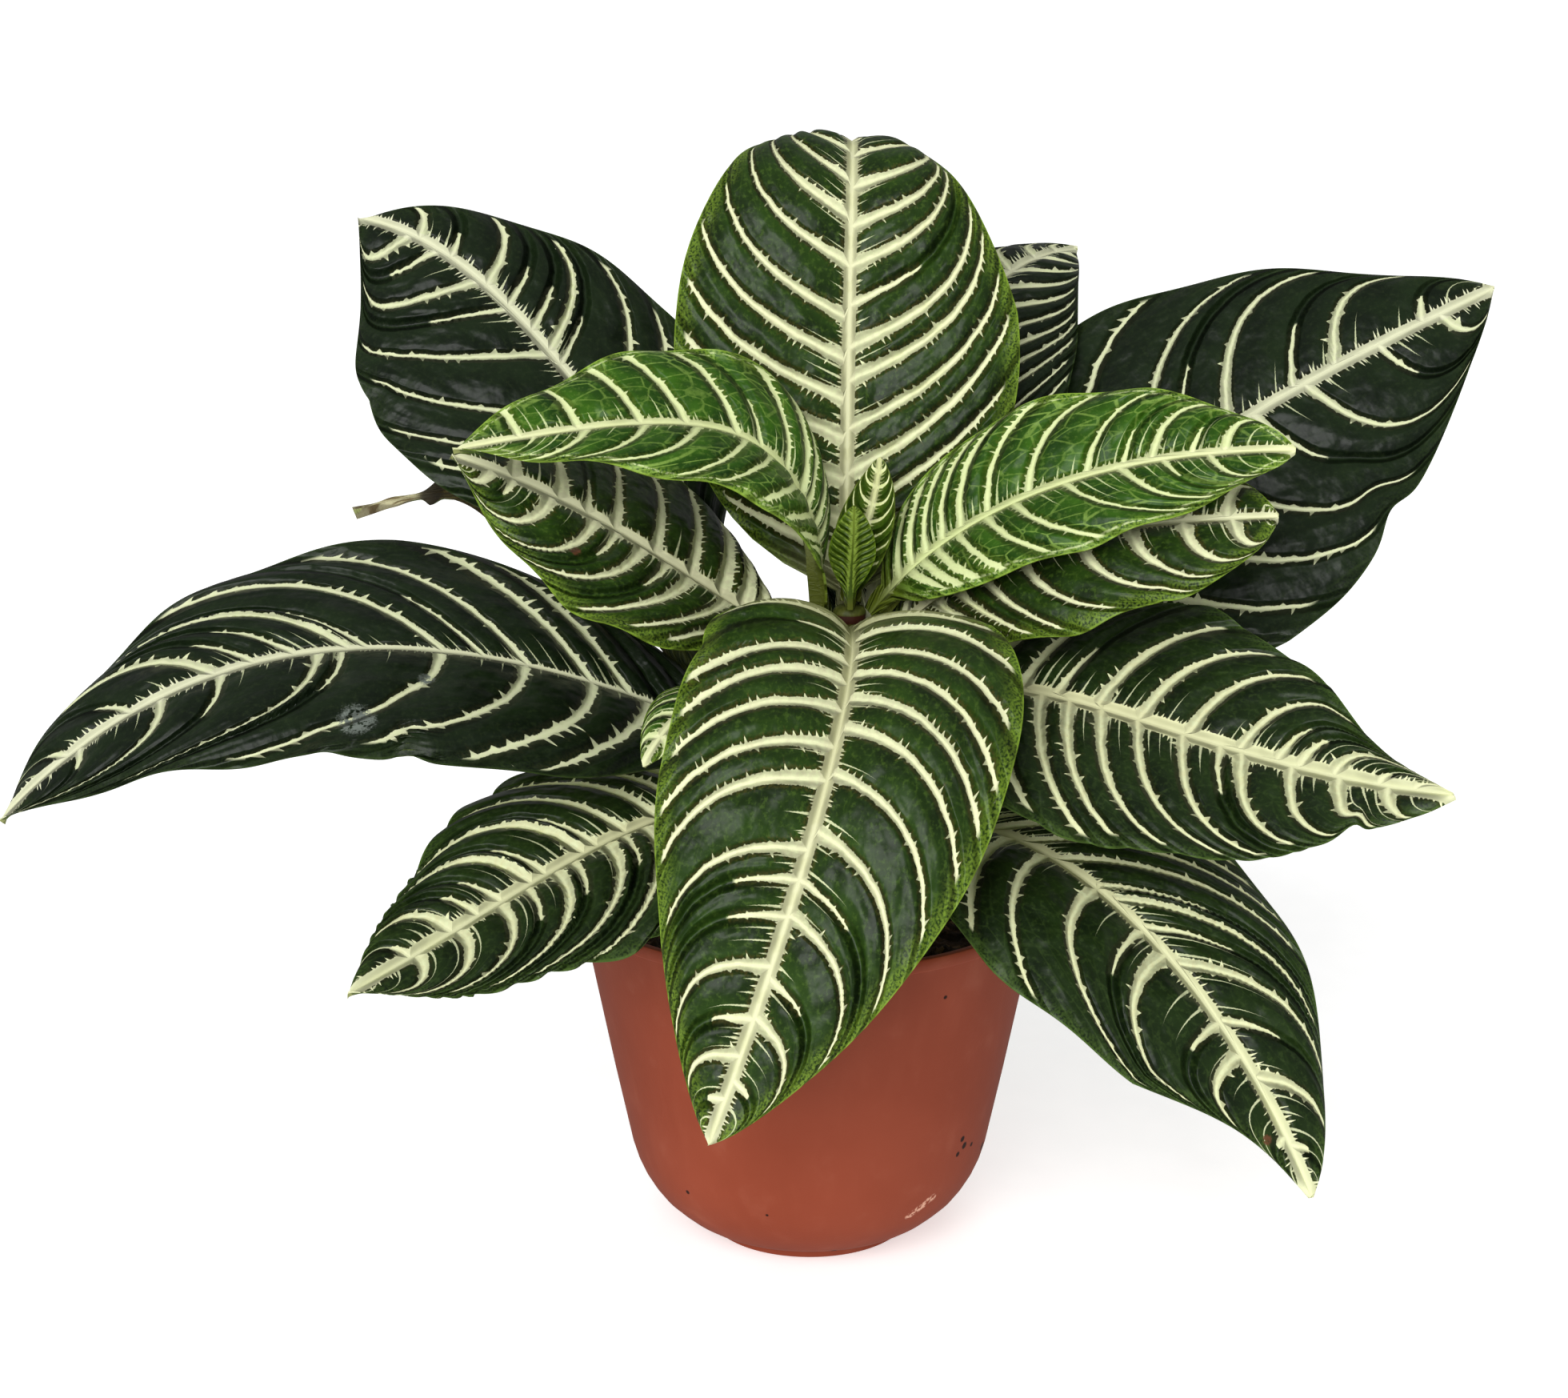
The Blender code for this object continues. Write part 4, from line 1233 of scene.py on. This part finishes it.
def add_leaf(leaf):
    """One fine leaf that stands for the frame's plain one."""
    rails = seated(leaf)
    piece, order, start, across = add_slab(leaf, rail_length(rails))
    top, bottom, vectors = lay_out(leaf, rails, start, across)
    count = len(order)
    points = np.empty((2 * count, 3))
    points[order] = top.reshape(-1, 3)
    points[order + count] = bottom.reshape(-1, 3)
    write_points(piece.data, points)
    for name, values in vectors.items():
        both = np.empty((2 * count, 3))
        both[order] = both[order + count] = values.reshape(-1, 3)
        stored = piece.data.attributes.new(name, "FLOAT_VECTOR", "POINT")
        stored.data.foreach_set("vector", both.ravel())
    bpy.ops.object.shade_smooth_by_angle(angle=math.radians(LEAF_CREASE))
    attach(piece, "root")
    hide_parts(leaf.name)
    return 2 * len(piece.data.polygons)


leaf_triangles = sum(add_leaf(leaf) for leaf in LEAVES)
print("triangles in the leaves:", leaf_triangles)

# %% [markdown]
# The pot is a thin shell of clay-red plastic with a rolled rim, a tapered wall, a rounded
# shoulder, a foot, and a ring of drain holes in its floor. A turned shape could be spun, but
# here a ring is extruded and resized again and again, up the outside and down the inside,
# which closes both ends and keeps the wall's thickness true. Rods then cut the holes.

# %% Pot
RIM_RADIUS = 0.0725
POT_HEIGHT = 0.1105
FOOT_RADIUS = 0.0312
POT_SIDES = 160
DRAIN_HOLES = 5
DRAIN_RADIUS = 0.0035
DRAIN_CIRCLE = 0.0205
DRAIN_ROD_LENGTH = 0.03
DRAIN_SIDES = 24
POT_CREASE = 35
POT_OUTSIDE = (
    (FOOT_RADIUS, 0.0), (FOOT_RADIUS + 0.0004, 0.0003), (FOOT_RADIUS + 0.0010, 0.0034),
    (0.0340, 0.0037), (0.0385, 0.0052), (0.0418, 0.0074), (0.0448, 0.0100), (0.0479, 0.0130),
    (0.0505, 0.0165), (0.0529, 0.0206), (0.0548, 0.0250), (0.0563, 0.0300),
    (0.0615, 0.0550), (0.0665, 0.0806), (RIM_RADIUS - 0.0010, POT_HEIGHT - 0.0042),
    (RIM_RADIUS - 0.0004, POT_HEIGHT - 0.0040), (RIM_RADIUS, POT_HEIGHT - 0.0034),
    (RIM_RADIUS, POT_HEIGHT - 0.0008), (RIM_RADIUS - 0.0003, POT_HEIGHT - 0.0002),
    (RIM_RADIUS - 0.0008, POT_HEIGHT),
)
POT_INSIDE = (
    (RIM_RADIUS - 0.0022, POT_HEIGHT), (RIM_RADIUS - 0.0026, POT_HEIGHT - 0.0004),
    (0.0599, 0.0550), (0.0534, 0.0260), (0.0492, 0.0175), (0.0432, 0.0110), (0.0360, 0.0062),
)


def extruded_rings(name, levels, sides):
    """A round closed body made by extruding one disc through levels of radius and height."""
    bpy.ops.object.select_all(action="DESELECT")
    radius, height = levels[0]
    bpy.ops.mesh.primitive_circle_add(vertices=sides, radius=radius, fill_type="NGON",
                                      location=(0, 0, height))
    piece = bpy.context.object
    piece.name = name
    bpy.ops.object.transform_apply(location=True)
    bpy.ops.object.mode_set(mode="EDIT")
    bpy.ops.mesh.select_all(action="SELECT")
    for next_radius, next_height in levels[1:]:
        bpy.ops.mesh.extrude_region_move(
            TRANSFORM_OT_translate={"value": (0, 0, next_height - height)})
        bpy.ops.transform.resize(value=(next_radius / radius, next_radius / radius, 1),
                                 center_override=(0, 0, next_height))
        radius, height = next_radius, next_height
    bpy.ops.mesh.select_all(action="SELECT")
    bpy.ops.mesh.normals_make_consistent(inside=False)
    bpy.ops.object.mode_set(mode="OBJECT")
    return piece


def cut_drain_holes(pot):
    """Cuts the round drain holes through the pot's floor."""
    for hole in range(DRAIN_HOLES):
        angle = hole * math.tau / DRAIN_HOLES
        place = (DRAIN_CIRCLE * math.cos(angle), DRAIN_CIRCLE * math.sin(angle), 0)
        bpy.ops.object.select_all(action="DESELECT")
        bpy.ops.mesh.primitive_cylinder_add(vertices=DRAIN_SIDES, radius=DRAIN_RADIUS,
                                            depth=DRAIN_ROD_LENGTH, location=place)
        rod = bpy.context.object
        cut = pot.modifiers.new("drain_hole", "BOOLEAN")
        cut.object = rod
        bpy.context.view_layer.objects.active = pot
        bpy.ops.object.modifier_apply(modifier=cut.name)
        bpy.data.objects.remove(rod)


pot = extruded_rings("clay_pot", POT_OUTSIDE + POT_INSIDE, POT_SIDES)
cut_drain_holes(pot)
print("pot faces:", len(pot.data.polygons))

# %% [markdown]
# The pot is matt orange-red plastic. Seen close it has a fine moulded grain, faint streaks
# down the wall, specks of soil low on the outside and a pale scuff at the shoulder. Each speck
# is given by its turn to the right of the pot's front, its height and its radius, so that it
# always lies on the wall.

# %% The pot's finish
GRAIN_SCALES = (1400.0, 120.0)
SOIL_SPECKS = (
    (53, 0.0415, 0.0013), (55, 0.0385, 0.0015), (52, 0.0365, 0.0011), (60, 0.0370, 0.0010),
    (73, 0.0310, 0.0018), (35, 0.0960, 0.0008), (-43, 0.0260, 0.0009), (-14, 0.0240, 0.0006),
    (11, 0.0055, 0.0011),
)
SCUFF = ((36, 0.0190), (37.5, 0.0200), (39, 0.0208), (40.5, 0.0217), (42, 0.0228), (44, 0.0236))
SCUFF_RADIUS = 0.0019


def on_the_pot(turn, height):
    """A place on the pot's outside, at a turn to the right of the front and a height."""
    radii, heights = zip(*POT_OUTSIDE)
    radius = np.interp(height, heights, radii)
    turn = math.radians(turn)
    return (radius * math.sin(turn), -radius * math.cos(turn), height)


def pot_finish():
    """Moulded clay-red plastic with dust, streaks and a few specks of soil."""
    finish = Finish("clay_red_plastic")
    where = finish.where()
    x, y, z = finish.split(where)
    cloud = finish.noise(where, 22.0, 4.0)
    streak = finish.noise(finish.join(x * 180.0, y * 180.0, z * 12.0), 1.0, 2.0)
    red = finish.blend(cloud.between(0.3, 0.7), screen(136, 58, 33), screen(144, 64, 39))
    red = finish.blend(streak.between(0.5, 0.8) * 0.07, red, screen(170, 92, 66))
    speck_gap, speck_lot = finish.cells(where, 130.0)
    speck = (1.0 - speck_gap.between(0.05, 0.16)) * speck_lot.between(0.90, 0.92)
    low = 1.0 - z.between(0.010, 0.050)
    patch = finish.noise(where, 30.0, 2.0).between(0.52, 0.64)
    red = finish.blend(speck * low * patch, red, screen(52, 28, 20))
    dust = finish.noise(where, 90.0, 5.0).between(0.55, 0.80) * 0.08
    patch_of_wear = finish.noise(where, 900.0, 2.0).between(0.42, 0.58) * 0.9
    red = finish.blend(dust, red, screen(196, 130, 104))
    for turn, height, radius in SOIL_SPECKS:
        dot = finish.spot(on_the_pot(turn, height), radius)
        red = finish.blend(dot, red, screen(46, 22, 16))
    for turn, height in SCUFF:
        scratch = finish.spot(on_the_pot(turn, height), SCUFF_RADIUS) * patch_of_wear
        red = finish.blend(scratch, red, screen(222, 168, 142))
    finish.colour(red)
    fine, coarse = GRAIN_SCALES
    grain = finish.noise(where, fine, 2.0) * 0.03 + finish.noise(where, coarse, 3.0) * 0.06
    finish.relief(grain + streak * 0.04)
    finish.gloss(cloud * 0.15 + 0.42, 0.25)
    return finish.material


pot.data.materials.append(pot_finish())
bpy.context.view_layer.objects.active = pot
pot.select_set(True)
bpy.ops.object.shade_smooth_by_angle(angle=math.radians(POT_CREASE))
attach(pot, "root")
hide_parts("pot")
print("pot finished")

# %% [markdown]
# Nobody sees the soil below its top, so the fine soil is a shallow plug. A flat square grid is
# rounded to a disc, patterns of three sizes push it up and down as clods, crumbs and grit, and
# an extrusion closes it below.

# %% Soil
SOIL_CELLS = 130
SOIL_RADIUS = 0.0668
SOIL_TOP = 0.0985
SOIL_SINK = 0.0020
SOIL_DEPTH = 0.010
SOIL_TAPER = 0.9
SOFT_CREASE = 60
CRUMBS = (
    ("clods", "CLOUDS", 0.012, 0.0040),
    ("crumbs", "VORONOI", 0.0035, -0.0030),
    ("grit", "CLOUDS", 0.0016, 0.0014),
)


def soil_finish():
    """Dark potting mix."""
    finish = Finish("potting_mix")
    where = finish.where()
    crumb_gap, crumb_lot = finish.cells(where, 420.0)
    clod = finish.noise(where, 160.0, 6.0, 0.65)
    brown = finish.blend(clod.between(0.35, 0.7), screen(22, 15, 10), screen(58, 41, 28))
    brown = finish.blend(crumb_lot.between(0.8, 0.95) * 0.6, brown, screen(98, 76, 54))
    finish.colour(brown)
    finish.relief(crumb_gap * -0.8 + clod * 1.2)
    finish.gloss(clod * 0.1 + 0.85, 0.2)
    return finish.material


def add_crumbs(soil, name, kind, size, height):
    """Pushes the soil's top up and down by a cloud or cell pattern."""
    pattern = bpy.data.textures.new(name, kind)
    pattern.noise_scale = size
    lumps = soil.modifiers.new(name, "DISPLACE")
    lumps.texture = pattern
    lumps.texture_coords = "LOCAL"
    lumps.direction = "Z"
    lumps.strength = height
    lumps.mid_level = 0.5
    bpy.ops.object.modifier_apply(modifier=name)


def add_soil():
    """A round plug of potting mix with a crumbly top, slightly sunk along the wall."""
    bpy.ops.object.select_all(action="DESELECT")
    bpy.ops.mesh.primitive_grid_add(x_subdivisions=SOIL_CELLS, y_subdivisions=SOIL_CELLS, size=2)
    soil = bpy.context.object
    soil.name = "crumbly_soil"
    points = read_points(soil.data)
    x, y = points[:, 0].copy(), points[:, 1].copy()
    points[:, 0] = SOIL_RADIUS * x * np.sqrt(1 - y ** 2 / 2)
    points[:, 1] = SOIL_RADIUS * y * np.sqrt(1 - x ** 2 / 2)
    from_middle = np.hypot(points[:, 0], points[:, 1]) / SOIL_RADIUS
    points[:, 2] = SOIL_TOP - SOIL_SINK * from_middle ** 6
    write_points(soil.data, points)
    for pattern in CRUMBS:
        add_crumbs(soil, *pattern)
    bpy.ops.object.mode_set(mode="EDIT")
    bpy.ops.mesh.select_all(action="SELECT")
    bpy.ops.mesh.extrude_region_move(TRANSFORM_OT_translate={"value": (0, 0, -SOIL_DEPTH)})
    bpy.ops.transform.resize(value=(SOIL_TAPER, SOIL_TAPER, 0),
                             center_override=(0, 0, SOIL_TOP - SOIL_DEPTH))
    bpy.ops.mesh.select_all(action="SELECT")
    bpy.ops.mesh.normals_make_consistent(inside=False)
    bpy.ops.object.mode_set(mode="OBJECT")
    soil.data.materials.append(soil_finish())
    bpy.ops.object.shade_smooth_by_angle(angle=math.radians(SOFT_CREASE))
    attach(soil, "root")
    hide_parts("soil")
    return soil


print("soil faces:", len(add_soil().data.polygons))

# %% [markdown]
# The stem is made again with more sides and soft rings, in the way of the pot: one disc that is
# extruded up through many levels, and then leant over as the frame's plain stem is.

# %% Stem
STEM_SIDES = 32
STEM_LEVELS = 220


def stem_finish():
    """Green-brown bark that turns red-brown at the top ring."""
    finish = Finish("stem_bark")
    where = finish.where()
    x, y, z = finish.split(where)
    grain = finish.noise(finish.join(x * 500.0, y * 500.0, z * 90.0), 1.0, 4.0)
    bark = finish.blend(grain.between(0.3, 0.7), screen(58, 66, 18), screen(86, 90, 32))
    woody = 1.0 - z.between(0.120, 0.175)
    bark = finish.blend(woody * 0.8, bark, screen(96, 78, 50))
    ring = z.between(0.1964, 0.1970) * (1.0 - z.between(0.1990, 0.1996))
    bark = finish.blend(ring, bark, screen(56, 22, 9))
    finish.colour(bark)
    finish.relief(grain * 0.4)
    finish.gloss(grain * 0.2 + 0.45, 0.3)
    return finish.material


def add_stem():
    """The stem, with softly rounded rings, leaning as the frame's plain one does."""
    heights, radii = zip(*stem_profile())
    levels = [(float(np.interp(height, heights, radii)), float(height))
              for height in np.linspace(STEM_FOOT, STEM_TOP, STEM_LEVELS)]
    stem = extruded_rings("leafy_stem", levels, STEM_SIDES)
    points = read_points(stem.data)
    points[:, 0] += np.interp(points[:, 2], *zip(*STEM_LEAN))
    write_points(stem.data, points)
    stem.data.materials.append(stem_finish())
    bpy.ops.object.shade_smooth_by_angle(angle=math.radians(SOFT_CREASE))
    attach(stem, "root")
    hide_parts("stem")
    return stem


print("stem faces:", len(add_stem().data.polygons))
